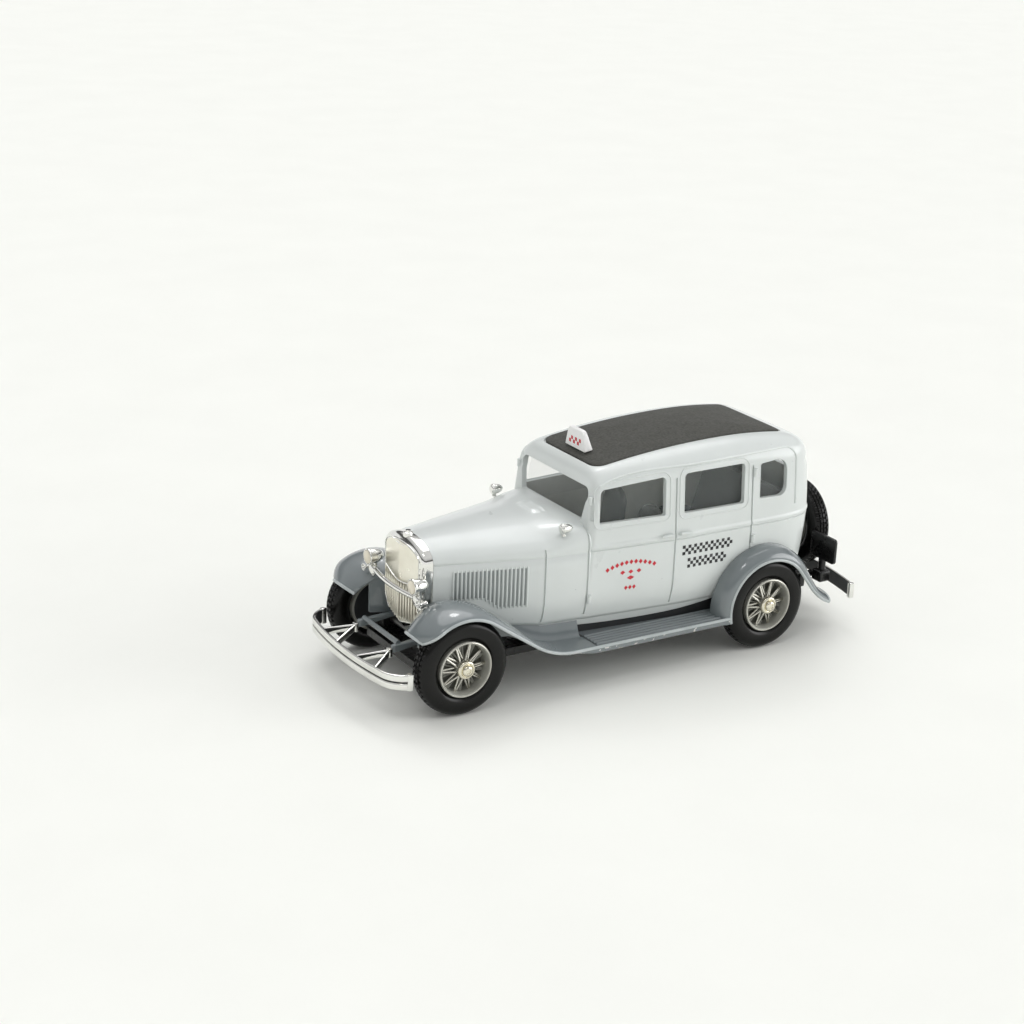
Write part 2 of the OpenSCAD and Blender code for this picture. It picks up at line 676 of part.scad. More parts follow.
// Direction square to a path at its point i, away from the wheel
function path_normal(path, i) = let (
    a = path[max(i - 1, 0)],
    b = path[min(i + 1, len(path) - 1)],
    d = (b - a) / norm(b - a)
) [d[1], -d[0]];

// Ring of a fender at path point i: inner skin from the inner edge to the lip, then the outer skin back.
// rise gives the height of the skin above the lip, across the fender from 0 to 1.
ACROSS = [0, 0.18, 0.36, 0.54, 0.72, 0.87, 0.96, 1];
function fender_ring(path, i, inner_y, outer_y, rises) = let (
    p = path[i],
    n = path_normal(path, i),
    skin = [for (k = [0:len(ACROSS) - 1]) [mix(inner_y, outer_y, ACROSS[k]), rises[k]]]
) concat(
    [for (s = skin) let (h = s[1] - fender_t) [p[0] + n[0] * h, s[0], p[1] + n[1] * h]],
    [for (k = [len(skin) - 1:-1:0]) let (h = skin[k][1]) [p[0] + n[0] * h, skin[k][0], p[1] + n[1] * h]]
);

// Front fender: its crown falls away inwards, and flattens out into the running board
inner_fall = 1.7;
crown_at = 0.5;
function front_rise(v) = v < crown_at
    ? front_crown - inner_fall * pow((crown_at - v) / crown_at, 2)
    : front_crown * power(1 - pow((v - crown_at) / (1 - crown_at), 2.5), 0.55);
tip_r = 2.4;
tip_spread = 2.7;
function front_inner_y(x) = min(belt_half(min(x, nose_x)) + seat_gap, board_in_y)
    + tip_spread * power((x - nose_x) / 7.5, 1.3);
function front_outer_y(i) = lip_y - tip_r * power(1 - i / 3, 2.2);
front_rings = [for (i = [0:len(front_path) - 1]) let (
    flat = eased((front_path[i][0] - board_front_x) / (sweep_start[0] - board_front_x))
) fender_ring(front_path, i, front_inner_y(front_path[i][0]), front_outer_y(i),
    [for (v = ACROSS) flat * front_rise(v)])];

// Rear fender: highest against the body, with a lower tail
function rear_rise(v) = rear_crown * power(1 - pow(v, 2.4), 0.5);
function rear_inner_y(x) = max(belt_half(x) - tail_inward(x), body_w / 2 - 1.8) + seat_gap;
function tail_inward(x) = body_w / 2 * (1 - power(1 - power((tail_x + 12.8 - x) / 12.8, 3.2), 1 / 3.2));
rear_rings = [for (i = [0:len(rear_path) - 1]) let (
    x = rear_path[i][0],
    tail = part((tail_start[0] - x) / 9)
) fender_ring(rear_path, i, rear_inner_y(x), lip_y - 1.2 * pow(tail, 2),
    [for (v = ACROSS) mix(1, 0.5, tail) * rear_rise(v)])];

// Upright apron between the front fender's inner edge and the floor
apron_t = 0.6;
function apron_ring(i) = let (
    x = front_path[i][0],
    y = front_inner_y(x),
    top = front_rings[i][0][2] + 0.2,
    low = min(floor_top_z - floor_t + 0.11, top - 0.2)
) [[x, y + apron_t, low], [x, y + apron_t, top], [x, y + 0.04, top], [x, y + 0.04, low]];

// Running board: turned-down edge and ribs on the skin, and the sloping apron beside it
rib_w = 0.42;
rib_h = 0.22;
edge_t = 0.5;
module running_board() {
    translate([board_rear_x - 0.1, lip_y - edge_t - 0.03, board_z - edge_drop])
        cube([board_front_x - board_rear_x + 1.7, edge_t, edge_drop - 0.11]);
    first = board_in_y + 0.7;
    pitch = (lip_y - 0.7 - first) / board_ribs;
    for (i = [0:board_ribs - 1])
        hull()
            for (x = [board_rear_x + 1.2, board_front_x - 4.6 + 0.25 * i])
                translate([x, first + (i + 0.5) * pitch, board_z + rib_h / 2])
                    cube([rib_w, rib_w, rib_h + 0.1], center = true);
    translate([board_rear_x + 0.13, 0, 0])
        rotate([90, 0, 90])
            linear_extrude(board_front_x - board_rear_x + 1.9)
                polygon([[board_in_y - 0.33, board_z - 0.23], [board_in_y + 0.47, board_z - 0.23],
                         [floor_half + 0.07, floor_top_z - 0.08], [floor_half - 0.77, floor_top_z - 0.08],
                         [floor_half - 0.77, floor_top_z - floor_t + 0.09], [floor_half - 0.3, floor_top_z - floor_t + 0.09]]);
}

// Floor that ties the two sides together, with bosses for the base screws
floor_front_x = nose_x - 0.3;
floor_rear_x = rear_axle_x - 9.5;
screw_mid_x = -2;
boss_r = 1.9;
base_top_z = base_z + base_t;
module floor_plate() {
    outline = [[floor_front_x, nose_w / 2 + 0.2], [cowl_x, cowl_w / 2 + 0.2],
               [board_front_x + 2.3, floor_half - 1], [door_middle_x, floor_half], [floor_rear_x, floor_half]];
    translate([0, 0, floor_top_z - floor_t])
        linear_extrude(floor_t)
            polygon(concat(outline, [for (i = [len(outline) - 1:-1:0]) [outline[i][0], -outline[i][1]]]));
    for (way = [-1, 1])
        translate([screw_mid_x + way * screw_gap / 2, 0, base_top_z + fit_gap])
            cylinder(h = floor_top_z - base_top_z - 0.1, r = boss_r, $fn = 24);
}

// Frame horns that carry the front bumper, with the bar between them
horn_y = 6.1;
horn_tip_x = front_axle_x + 7.6;
horn_z = 9.2;
horn_root_h = 0.65;
module frame_horns() {
    both_sides()
        hull() {
            translate([floor_front_x - 1, horn_y - 0.6, floor_top_z - horn_root_h]) cube([1, 1.2, horn_root_h]);
            translate([horn_tip_x - 0.8, horn_y - 0.5, horn_z - 0.7]) cube([0.8, 1, 1.5]);
        }
    translate([horn_tip_x - 1.2, 0, horn_z + 0.8])
        along_y() cylinder(h = 2 * horn_y, r = 0.45, center = true, $fn = 16);
}

module fender_unit() {
    color(FENDER_PAINT) placed() difference() {
        union() {
            both_sides() {
                loft(front_rings, strip = true);
                loft(rear_rings, strip = true);
                running_board();
                loft([for (i = [3:len(front_path) - 4]) apron_ring(i)], strip = true);
            }
            floor_plate();
            frame_horns();
        }
        for (way = [-1, 1])
            translate([screw_mid_x + way * screw_gap / 2, 0, base_z])
                cylinder(h = 3 * base_t + 2, r = screw_r + fit_gap, $fn = 32);
    }
}

// Base plate with the axle bearings, screw holes and holes for a display stand
bearing_w = 2.6;
bearing_l = 4.4;
head_r = 1.4;
head_h = 0.7;
module base_plate() {
    bearing_top = floor_top_z - floor_t - fit_gap;
    color(BLACK_PLASTIC) placed() difference() {
        union() {
            translate([rear_axle_x - 8, -base_w / 2, base_z])
                cube([wheelbase + 12, base_w, base_t]);
            for (x = [front_axle_x, rear_axle_x], side = [-1, 1])
                translate([x - bearing_l / 2, side * (base_w - bearing_w) / 2 - bearing_w / 2, base_z])
                    cube([bearing_l, bearing_w, bearing_top - base_z]);
        }
        for (x = [front_axle_x, rear_axle_x])
            translate([x, 0, tyre_r])
                along_y() cylinder(h = base_w + 2, r = axle_r + bearing_gap, center = true);
        for (way = [-1, 1]) {
            translate([screw_mid_x + way * screw_gap / 2, 0, base_z - 1]) {
                cylinder(h = base_t + 2, r = screw_r + fit_gap);
                cylinder(h = 1 + head_h + fit_gap, r = head_r + fit_gap);
            }
            translate([screw_mid_x + way * stand_hole_gap / 2, 0, base_z - 1])
                cylinder(h = base_t + 2, r = stand_hole_r);
        }
    }
}

// Cheese-head screws that hold the base plate to the floor's bosses
module base_screws() {
    color(CHROME) placed()
        for (way = [-1, 1])
            translate([screw_mid_x + way * screw_gap / 2, 0, base_z])
                difference() {
                    union() {
                        cylinder(h = head_h, r = head_r);
                        cylinder(h = floor_top_z - base_z - 0.3, r = screw_r);
                    }
                    translate([-head_r - 1, -0.2, -0.1]) cube([2 * head_r + 2, 0.4, 0.4]);
                }
}

// Radiator shell: a rounded top, slightly tapering sides and a pointed foot, with the grille inside
shell_back_x = nose_x + fit_gap;
shell_side_z = 14;
shell_rim = 1;
shell_over_hood = 0.2;
grille_d = 0.4;
bar_w = 0.24;
module shell_outline(inset) {
    w = nose_w / 2 - inset;
    round_h = nose_top_z - belt_z + shell_over_hood - inset;
    arch = [for (i = [0:12]) let (a = 15 * i)
        [w * sign(cos(a)) * power(abs(cos(a)), 0.8), belt_z + round_h * power(sin(a), 0.8)]];
    polygon(concat(arch, [[-w * 0.93, shell_side_z], [-w * 0.74, shell_side_z - 1.9], [0, shell_low_z + inset * 1.2],
                          [w * 0.74, shell_side_z - 1.9], [w * 0.93, shell_side_z]]));
}
// Extrudes an outline drawn as [across, up] along +X
module extruded_ahead(depth) { rotate([90, 0, 90]) linear_extrude(depth) children(); }
// Shell front: rounded at the sides, with a low ridge down its middle
module shell_form(back) {
    hull() {
        extruded_ahead(shell_d * 0.4 - back) shell_outline(back);
        extruded_ahead(shell_d * 0.62 - back) shell_outline(back + 0.25);
        extruded_ahead(shell_d * 0.75 - back) shell_outline(back + 0.7);
        extruded_ahead(shell_d - back)
            polygon([for (y = [-0.3, 0.3], up = [0, 1])
                [up > 0 ? -y : y, up > 0 ? nose_top_z - 1.4 - back : shell_low_z + 2 + 2 * back]]);
    }
}
module radiator_shell() {
    color(CHROME) placed()
        translate([shell_back_x, 0, 0]) {
            difference() {
                shell_form(0);
                intersection() {
                    difference() {
                        translate([shell_d * 0.3, 0, 0]) extruded_ahead(shell_d) shell_outline(shell_rim);
                        shell_form(grille_d);
                    }
                    grille_slots();
                }
            }
            // Filler cap
            translate([shell_d * 0.38, 0, nose_top_z + shell_over_hood - 0.3]) {
                cylinder(h = 0.75, r = 0.85);
                cylinder(h = 1.1, r = 0.5);
            }
        }
}
// Spaces between the grille's bars
module grille_slots() {
    pitch = (nose_w - 2 * shell_rim) / grille_bars;
    for (i = [0:grille_bars - 1])
        translate([0, (i - grille_bars / 2) * pitch + bar_w / 2, shell_low_z])
            cube([shell_d, pitch - bar_w, nose_top_z]);
}

// Headlamps: bowls and horns on one bowed bar
lamp_front_x = front_axle_x + 4.6;
lamp_y = lamp_gap / 2;
lamp_len = 2.6;
bar_sag = 0.9;
bar_r = 0.48;
boss_drop = 2.5;
lamp_boss_r = 1.15;
bar_z = lamp_z - boss_drop + 0.2;
horn_out = 1.75;
stay_out = 1.3;
stay_down = 0.84;
module lamp_bowl() {
    difference() {
        rotate_extrude()
            polygon(concat(
                [[0, -lamp_len]],
                [for (i = [1:8]) let (a = 90 * i / 8) [lamp_r * 0.93 * power(sin(a), 0.8), -lamp_len * cos(a)]],
                [[lamp_r * 0.93, 0.02], [lamp_r, 0.1], [lamp_r, 0.4], [lamp_r * 0.9, 0.5], [0, 0.5]]));
        translate([0, 0, 0.2]) cylinder(h = 1, r = lamp_r - 0.25);
    }
}
module horn_trumpet() {
    rotate_extrude()
        polygon([[0, -1.5], [0.45, -1.5], [0.45, -1.1], [0.24, -0.8], [0.26, -0.4], [0.4, -0.1], [0.64, 0.15],
                 [0.64, 0.3], [0.5, 0.3], [0.2, -0.2], [0, -0.2]]);
}
module headlamp_bar() {
    bar_curve = (lamp_y * lamp_y + bar_sag * bar_sag) / (2 * bar_sag);
    half_angle = asin(lamp_y / bar_curve);
    color(CHROME) placed() {
        translate([lamp_front_x - 0.9 + bar_sag - bar_curve, 0, bar_z])
            rotate([0, 0, -half_angle])
                rotate_extrude(angle = 2 * half_angle) translate([bar_curve, 0]) circle(r = bar_r, $fn = 24);
        both_sides()
            translate([lamp_front_x, lamp_y, 0]) {
                translate([0, 0, lamp_z]) along_x() lamp_bowl();
                // Boss under the lamp, and stay from the boss to the fender
                translate([-1.5, 0, lamp_z - boss_drop])
                    along_x() rotate_extrude()
                        polygon(concat([[0, -0.6]], [for (i = [0:6]) let (a = 15 * i)
                            [lamp_boss_r * cos(a), 0.9 + 0.6 * sin(a)]], [[0, 1.5]], [[0, -0.6]]));
                translate([-1, 0, lamp_z - boss_drop]) cylinder(h = boss_drop - lamp_r + 0.4, r = 0.5);
                rod([-1, 0, lamp_z - boss_drop], [-1, stay_out, lamp_z - boss_drop - stay_down], 0.4);
                translate([0, horn_out, lamp_z - boss_drop]) along_x() horn_trumpet();
                rod([-1.2, horn_out, lamp_z - boss_drop], [-1.1, 0.5, lamp_z - boss_drop], 0.25);
            }
    }
}
module headlamp_lenses() {
    color(CLEAR) placed() both_sides()
        translate([lamp_front_x + 0.2 + fit_gap, lamp_y, lamp_z])
            along_x()
                rotate_extrude()
                    polygon(concat([[0, 0], [lamp_r - 0.3, 0], [lamp_r - 0.3, 0.2]],
                        [for (i = [1:5]) let (a = 18 * i)
                            [(lamp_r - 0.3) * cos(a), 0.2 + 0.4 * sin(a)]]));
}

// Cowl lamp: a small bullet on a short arm from the cowl
cowl_lamp_x = screen_x + 4.6;
module cowl_lamp() {
    y = belt_half(cowl_lamp_x) - 1.1;
    n = hood_squareness(cowl_lamp_x);
    foot_r = 0.4;
    share = (y - foot_r) / belt_half(cowl_lamp_x);
    skin_z = belt_z + (hood_top(cowl_lamp_x) - belt_z) * power(1 - power(share, n), 1 / n);
    stem_h = 0.55;
    z = skin_z + stem_h + cowl_lamp_r * 0.8;
    translate([cowl_lamp_x, y, z]) along_x()
        rotate_extrude()
            polygon(concat(
                [for (i = [0:6]) let (a = 15 * i) [cowl_lamp_r * 0.92 * sin(a), -1.7 * cos(a)]],
                [[cowl_lamp_r, 0.05], [cowl_lamp_r, 0.4], [cowl_lamp_r * 0.85, 0.5]],
                [for (i = [1:4]) let (a = 22.5 * i) [cowl_lamp_r * 0.85 * cos(a), 0.5 + 0.3 * sin(a)]]));
    translate([cowl_lamp_x, y, skin_z + fit_gap]) cylinder(h = stem_h + 0.3, r = 0.3);
    translate([cowl_lamp_x, y, skin_z + fit_gap]) cylinder(h = 0.2, r = foot_r);
}
module cowl_lamp_left() { color(CHROME) placed() cowl_lamp(); }
module cowl_lamp_right() { color(CHROME) placed() mirror([0, 1, 0]) cowl_lamp(); }

// Bumper blade: two bars with a groove between them, bowed, with tighter bends towards its ends
blade_bow_r = 70;
front_flat_y = 12.2;
front_bend_r = 4.5;
rear_bend_r = 5.2;
end_back = 0.7;
end_ahead = 0.3;
module blade_section() {
    bar_h = bumper_h / 2 - 0.12;
    for (up = [-1, 1])
        translate([0, up * (bumper_h / 2 - bar_h / 2)])
            hull() {
                square([bumper_t * 0.5, bar_h], center = true);
                translate([bumper_t * 0.15, 0]) square([bumper_t * 0.7, bar_h * 0.6], center = true);
            }
    translate([-bumper_t * 0.15, 0]) square([bumper_t * 0.3, bumper_h * 0.9], center = true);
}
// width is across the ends, flat_y half of the flatter middle and bend_r the radius of the bends outside it
module bumper_blade(width, flat_y, bend_r) {
    flat_angle = asin(flat_y / blade_bow_r);
    end_angle = asin((width / 2 - (blade_bow_r - bend_r) * sin(flat_angle)) / bend_r);
    face = bumper_t / 2;
    translate([-blade_bow_r - face, 0, 0])
        rotate([0, 0, -flat_angle])
            rotate_extrude(angle = 2 * flat_angle, $fn = 96) translate([blade_bow_r, 0]) blade_section();
    both_sides()
        translate([-blade_bow_r - face + (blade_bow_r - bend_r) * cos(flat_angle),
                   (blade_bow_r - bend_r) * sin(flat_angle), 0]) {
            if (end_angle > flat_angle + 1)
                rotate([0, 0, flat_angle - 1])
                    rotate_extrude(angle = end_angle - flat_angle + 1) translate([bend_r, 0]) blade_section();
            // Squared end piece
            rotate([0, 0, end_angle])
                translate([bend_r - bumper_t * 0.6, -end_back, -bumper_h / 2 - 0.1])
                    cube([bumper_t * 1.2, end_back + end_ahead, bumper_h + 0.2]);
        }
}
// Front bumper with a forked iron on each side, from the frame horn to the blade
function blade_x(y) = -blade_bow_r - bumper_t / 2 + sqrt(blade_bow_r * blade_bow_r - y * y);
iron_in_y = 3.2;
iron_out_y = 9.6;
module front_bumper() {
    apex = [horn_tip_x + seat_gap, horn_y, horn_z - 0.6];
    iron_r = 0.42;
    inner = [front_reach + blade_x(iron_in_y), iron_in_y, bumper_z];
    outer = [front_reach + blade_x(iron_out_y), iron_out_y, bumper_z];
    color(CHROME) placed() {
        translate([front_reach, 0, bumper_z]) bumper_blade(front_bumper_w, front_flat_y, front_bend_r);
        both_sides() {
            rod(apex + [0.3, 0, 0], inner, iron_r);
            rod(apex + [0.3, 0, 0], outer, iron_r);
            translate(apex + [0, -0.6, -0.8]) cube([0.6, 1.2, 1.6]);
        }
    }
}

// Rear bumper on two flat irons from the spare carrier's cross member
cross_x = floor_rear_x - 5.6;
cross_half = 9;
cross_z = 9.2;
module rear_bumper() {
    color(CHROME) placed() {
        translate([rear_reach, 0, bumper_z]) mirror([1, 0, 0]) bumper_blade(rear_bumper_w, rear_bumper_w / 2, rear_bend_r);
        both_sides() {
            start = [cross_x - 0.5 - seat_gap, cross_half - 1, bumper_z];
            end = [rear_reach - blade_x(cross_half - 1), cross_half - 1, bumper_z];
            rod(start, end, 0.42);
            translate(start + [-0.5, -0.6, -0.9]) cube([0.5, 1.2, 1.5]);
        }
    }
}

// Spare wheel behind the tail
spare_x = tail_x - 5.1;
spare_z = 15.8;
module at_spare() { translate([spare_x, 0, spare_z]) rotate([0, -90, 0]) children(); }

// Carrier: cross member under the tail, tank panel and an arm to the spare wheel's hub
module spare_carrier() {
    color(BLACK_PLASTIC) placed() {
        translate([cross_x - 0.5, -cross_half, bumper_z - 1.2]) cube([1.2, 2 * cross_half, cross_z - bumper_z + 1.7]);
        // Tank panel between the floor and the cross member
        translate([cross_x - 0.5, -cross_half, cross_z - 0.4]) cube([floor_rear_x - cross_x + 0.4, 2 * cross_half, 1]);
        hull() {
            translate([cross_x, -cross_half + 1, cross_z]) cube([1, 2 * cross_half - 2, 1]);
            translate([cross_x + 1.2, -cross_half + 1, tail_low_z - 0.8]) cube([1, 2 * cross_half - 2, 0.6]);
        }
        // Upright arm and the boss that holds the wheel
        hull() {
            translate([cross_x - 0.5, -1.6, cross_z]) cube([1.2, 3.2, 1]);
            translate([tail_x - 1.2, -1.3, spare_z - 1]) cube([0.9, 2.6, 2]);
        }
        translate([tail_x - 0.4, 0, spare_z])
            rotate([0, -90, 0]) cylinder(h = tail_x - 0.4 - spare_x + 0.4, r = axle_r);
    }
}

// Plate bracket: a blank plate with a lamp box under it, on an arm from the cross member
plate_w = 6.8;
plate_h = 4.8;
plate_t = 0.6;
plate_y = 11.6;
plate_z = 14.6;
plate_x = spare_x + tyre_w / 2 + seat_gap + plate_t / 2;
arm_t = 0.8;
arm_h = 0.9;
arm_z = bumper_z + 0.7;
module plate_bracket() {
    r = 0.6;
    color(BLACK_PLASTIC) placed() {
        translate([plate_x, 0, 0])
            hull()
                for (y = [-1, 1], z = [-1, 1])
                    translate([0, plate_y + y * (plate_w / 2 - r), plate_z + z * (plate_h / 2 - r)])
                        along_x() cylinder(h = plate_t, r = r, center = true, $fn = 20);
        // Lamp box and its rim
        translate([plate_x - 0.3, plate_y - 0.4, bumper_z + 1.4]) {
            translate([-1.1, -1.3, -0.8]) cube([2.4, 2.6, 2.1]);
            translate([0, 0, 1.2]) cylinder(h = plate_z - plate_h / 2 - bumper_z - 2.3, r = 0.7);
        }
        // Arm from the cross member, bent outwards to the lamp box
        translate([plate_x - arm_t / 2, cross_half - 0.9, arm_z]) {
            cube([arm_t, plate_y - cross_half + 0.3, arm_h]);
            cube([cross_x - 0.5 - fit_gap - plate_x + arm_t / 2, arm_t, arm_h]);
        }
    }
}

// Wheels: made about Z with the outer face up
rim_half = tyre_w / 2 - 0.2;
rim_wall = 0.4;
lip_out = tyre_w / 2 + 0.15;
hub_in = -1.8;
hub_out = tyre_w / 2 - 0.1;
bore_gap = 0.02;
hub_end_t = 0.4;
axle_short = 0.8;
module wheel() {
    difference() {
        union() {
            rotate_extrude()
                polygon([[rim_r - rim_wall, -rim_half], [rim_r, -rim_half], [rim_r, rim_half - 0.1],
                         [rim_r + 0.25, lip_out - 0.2], [rim_r + 0.15, lip_out], [rim_r - 0.25, lip_out],
                         [rim_r - rim_wall, rim_half - 0.3]]);
            translate([0, 0, hub_in]) cylinder(h = hub_out - hub_in, r = hub_r);
            for (i = [0:spoke_pairs - 1], way = [-1, 1]) {
                a = 360 * i / spoke_pairs;
                near = a + way * 14;
                far = a + way * 5;
                hub_side = hub_r - 0.25;
                rim_side = rim_r - rim_wall / 2;
                low = way > 0 ? 0.9 : 0.45;
                rod([hub_side * cos(near), hub_side * sin(near), low],
                    [rim_side * cos(far), rim_side * sin(far), 0.1], spoke_r);
                rod([hub_side * cos(near + 18), hub_side * sin(near + 18), hub_in + 0.5],
                    [rim_side * cos(far + 18), rim_side * sin(far + 18), -0.5], spoke_r);
            }
        }
        translate([0, 0, hub_in - 1]) cylinder(h = hub_out - hub_in + 1 - hub_end_t, r = axle_r + bore_gap);
    }
}
// Tyre: round shoulders, full side walls and grooves round the tread
bead_gap = 0.02;
tread_groove = 0.26;
module tyre() {
    inner = rim_r + bead_gap;
    middle = (inner + tyre_r) / 2;
    half = (tyre_r - inner) / 2;
    shape = 2 / 2.7;
    steps = 32;
    difference() {
        rotate_extrude()
            difference() {
                polygon([for (i = [0:steps - 1]) let (a = 360 * i / steps)
                    [middle + half * sign(cos(a)) * power(abs(cos(a)), shape),
                     tyre_w / 2 * sign(sin(a)) * power(abs(sin(a)), shape)]]);
                for (z = [-0.7, 0, 0.7])
                    translate([tyre_r - tread_groove, z - tread_groove / 2]) square([1, tread_groove]);
            }
        // Seat of the wheel's outer lip
        translate([0, 0, rim_half - 0.1 - fit_gap])
            cylinder(h = tyre_w, r = rim_r + 0.25 + fit_gap);
    }
}
module hub_cap() {
    translate([0, 0, hub_out + fit_gap])
        rotate_extrude()
            polygon([[0, 0], [cap_r, 0], [cap_r, 0.3], [cap_r - 0.15, 0.45], [cap_r - 0.4, 0.5], [cap_r - 0.45, 0.75],
                     [cap_r - 0.75, 0.95], [0.45, 1.02], [0.4, 0.9], [0, 0.9]]);
}
// Places a piece of a wheel at a corner of the car: side is 1 on the left and -1 on the right
module at_wheel(x, side) {
    translate([x, side * track / 2, tyre_r])
        rotate([side > 0 ? -90 : 90, 0, 0]) children();
}
module axle(x) {
    reach = track / 2 + hub_out - axle_short;
    translate([x, 0, tyre_r]) along_y() cylinder(h = 2 * reach, r = axle_r, center = true);
}

module spare_wheel() { color("silver") placed() at_spare() wheel(); }
module spare_tyre() { color(BLACK_PLASTIC) placed() at_spare() tyre(); }
module spare_hub_cap() { color(CHROME) placed() at_spare() hub_cap(); }
module front_axle() { color("silver") placed() axle(front_axle_x); }
module rear_axle() { color("silver") placed() axle(rear_axle_x); }
module road_wheel(x, side) { color("silver") placed() at_wheel(x, side) wheel(); }
module road_tyre(x, side) { color(BLACK_PLASTIC) placed() at_wheel(x, side) tyre(); }
module road_cap(x, side) { color(CHROME) placed() at_wheel(x, side) hub_cap(); }

body_shell();
roof_insert();
roof_sign();
window_glazing();
interior_tub();
steering_wheel();
fender_unit();
base_plate();
base_screws();
radiator_shell();
headlamp_bar();
headlamp_lenses();
cowl_lamp_left();
cowl_lamp_right();
front_bumper();
rear_bumper();
spare_carrier();
plate_bracket();
spare_wheel();
spare_tyre();
spare_hub_cap();
front_axle();
rear_axle();
road_wheel(front_axle_x, 1);  // wheel_front_left
road_wheel(front_axle_x, -1);  // wheel_front_right
road_wheel(rear_axle_x, 1);  // wheel_rear_left
road_wheel(rear_axle_x, -1);  // wheel_rear_right
road_tyre(front_axle_x, 1);  // tyre_front_left
road_tyre(front_axle_x, -1);  // tyre_front_right
road_tyre(rear_axle_x, 1);  // tyre_rear_left
road_tyre(rear_axle_x, -1);  // tyre_rear_right
road_cap(front_axle_x, 1);  // hub_cap_front_left
road_cap(front_axle_x, -1);  // hub_cap_front_right
road_cap(rear_axle_x, 1);  // hub_cap_rear_left
road_cap(rear_axle_x, -1);  // hub_cap_rear_right
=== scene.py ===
# Looks of the toy taxi: smooth skins, trim and materials round its solids.
# Lengths are millimetres from the middle of the wheelbase; piece() turns them into metres of the frame.
import math
from math import cos, pi, radians, sin

import bmesh
import bpy
from mathutils import Matrix, Vector
from mathutils.bvhtree import BVHTree
from mathutils.interpolate import poly_3d_calc


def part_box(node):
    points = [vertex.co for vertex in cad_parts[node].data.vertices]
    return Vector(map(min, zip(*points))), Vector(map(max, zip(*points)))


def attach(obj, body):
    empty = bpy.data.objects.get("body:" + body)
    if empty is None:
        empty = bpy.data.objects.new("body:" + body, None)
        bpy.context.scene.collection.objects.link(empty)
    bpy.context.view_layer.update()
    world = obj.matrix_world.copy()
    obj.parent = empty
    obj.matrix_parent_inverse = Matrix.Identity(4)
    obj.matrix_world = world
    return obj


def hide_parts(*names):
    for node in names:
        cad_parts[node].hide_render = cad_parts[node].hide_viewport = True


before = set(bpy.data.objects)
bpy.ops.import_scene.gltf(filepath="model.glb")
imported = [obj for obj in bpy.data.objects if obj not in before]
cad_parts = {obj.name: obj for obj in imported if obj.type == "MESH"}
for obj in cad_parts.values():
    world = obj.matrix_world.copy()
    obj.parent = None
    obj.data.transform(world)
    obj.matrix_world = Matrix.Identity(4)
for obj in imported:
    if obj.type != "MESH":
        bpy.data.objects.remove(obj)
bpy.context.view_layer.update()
MM = 0.001


# Places taken from the frame
def middle_of(node):
    low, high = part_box(node)
    return (low + high) / 2 / MM


FRONT_AXLE = middle_of("front_axle")
REAR_AXLE = middle_of("rear_axle")
MIDDLE_X = (FRONT_AXLE.x + REAR_AXLE.x) / 2
FRONT_AXLE_X = FRONT_AXLE.x - MIDDLE_X
REAR_AXLE_X = REAR_AXLE.x - MIDDLE_X
TYRE_R = FRONT_AXLE.z
FRONT_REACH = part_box("front_bumper")[1].x / MM - MIDDLE_X
REAR_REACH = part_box("rear_bumper")[0].x / MM - MIDDLE_X

# Body
BODY_W = 29.2
COWL_W = 24.2
NOSE_W = 14.0
HOOD_LEN = 18.8
COWL_LEN = 8.4
SILL_Z = 10.3
BELT_Z = 22.9
NOSE_TOP_Z = 26.3
COWL_TOP_Z = 27.85
WALL_TOP_Z = 34.3
ROOF_EDGE_Z = 38.5
ROOF_CROWN = 0.9
WALL = 1.0
TUMBLE = 0.75
TURN_IN = 1.1
TURN_Z = SILL_Z + 5.7
TUCK = 2.2
TAIL_LEAN = 0.9
SCREEN_LEAN = 0.09
SWELL_LEN = 28.0
HOOD_RISE = 2.0
ROOF_FRONT_DROP = 2.2
ROOF_REAR_DROP = 0.95
ARCH_FROM_Z = 31.0
SCREEN_CORNER_R = 1.5
PANEL_CORNER_R = 2.2
PANEL_W = 18.0
PANEL_BACK = 2.9
PANEL_LEN = 40.4
PANEL_RECESS = 0.35
PANEL_PROUD = 0.15
NOSE_X = FRONT_AXLE_X + 0.5
COWL_X = NOSE_X - HOOD_LEN
SCREEN_X = COWL_X - COWL_LEN
TAIL_X = REAR_AXLE_X - 14.5
PANEL_FRONT_X = SCREEN_X - PANEL_BACK
PANEL_REAR_X = PANEL_FRONT_X - PANEL_LEN
ROOF_PEAK_X = PANEL_FRONT_X - 0.67 * PANEL_LEN

# Doors and windows
DOOR_FRONT_X = SCREEN_X + 0.3
DOOR_MIDDLE_X = DOOR_FRONT_X - 17.0
DOOR_REAR_X = DOOR_MIDDLE_X - 16.4
WINDOW_LOW_Z = 27.5
WINDOW_TOP_Z = 34.6
SCREEN_W = 19.2
GROOVE_W = 0.38
GROOVE_D = 0.32
BACK_WINDOW = (13.0, 4.4, 30.8)
LOUVER_COUNT = 19
LOUVER_ROW = 12.5

# Fenders and running boards
LIP_Y = 18.1
FRONT_LIP_R = TYRE_R + 0.5
REAR_LIP_R = TYRE_R + 0.3
FRONT_CROWN = 1.1
REAR_CROWN = 2.1
FENDER_T = 0.6
FENDER_EDGE_T = 0.36
BOARD_Z = 7.6
EDGE_DROP = 1.1
BOARD_RIBS = 5
BOARD_IN_Y = BODY_W / 2 - 1.2
SEAT_GAP = 0.15
FLOOR_TOP_Z = SILL_Z - SEAT_GAP
FLOOR_T = 0.6
FLOOR_HALF = BODY_W / 2 - TURN_IN - 0.6

# Wheels
TRACK = 31.2
TYRE_W = 4.0
HUB_R = 1.45
CAP_R = 1.6
SPOKE_PAIRS = 10
SPOKE_R = 0.17


def mix(a, b, t):
    return a + (b - a) * t


def limited(t):
    return min(1.0, max(0.0, t))


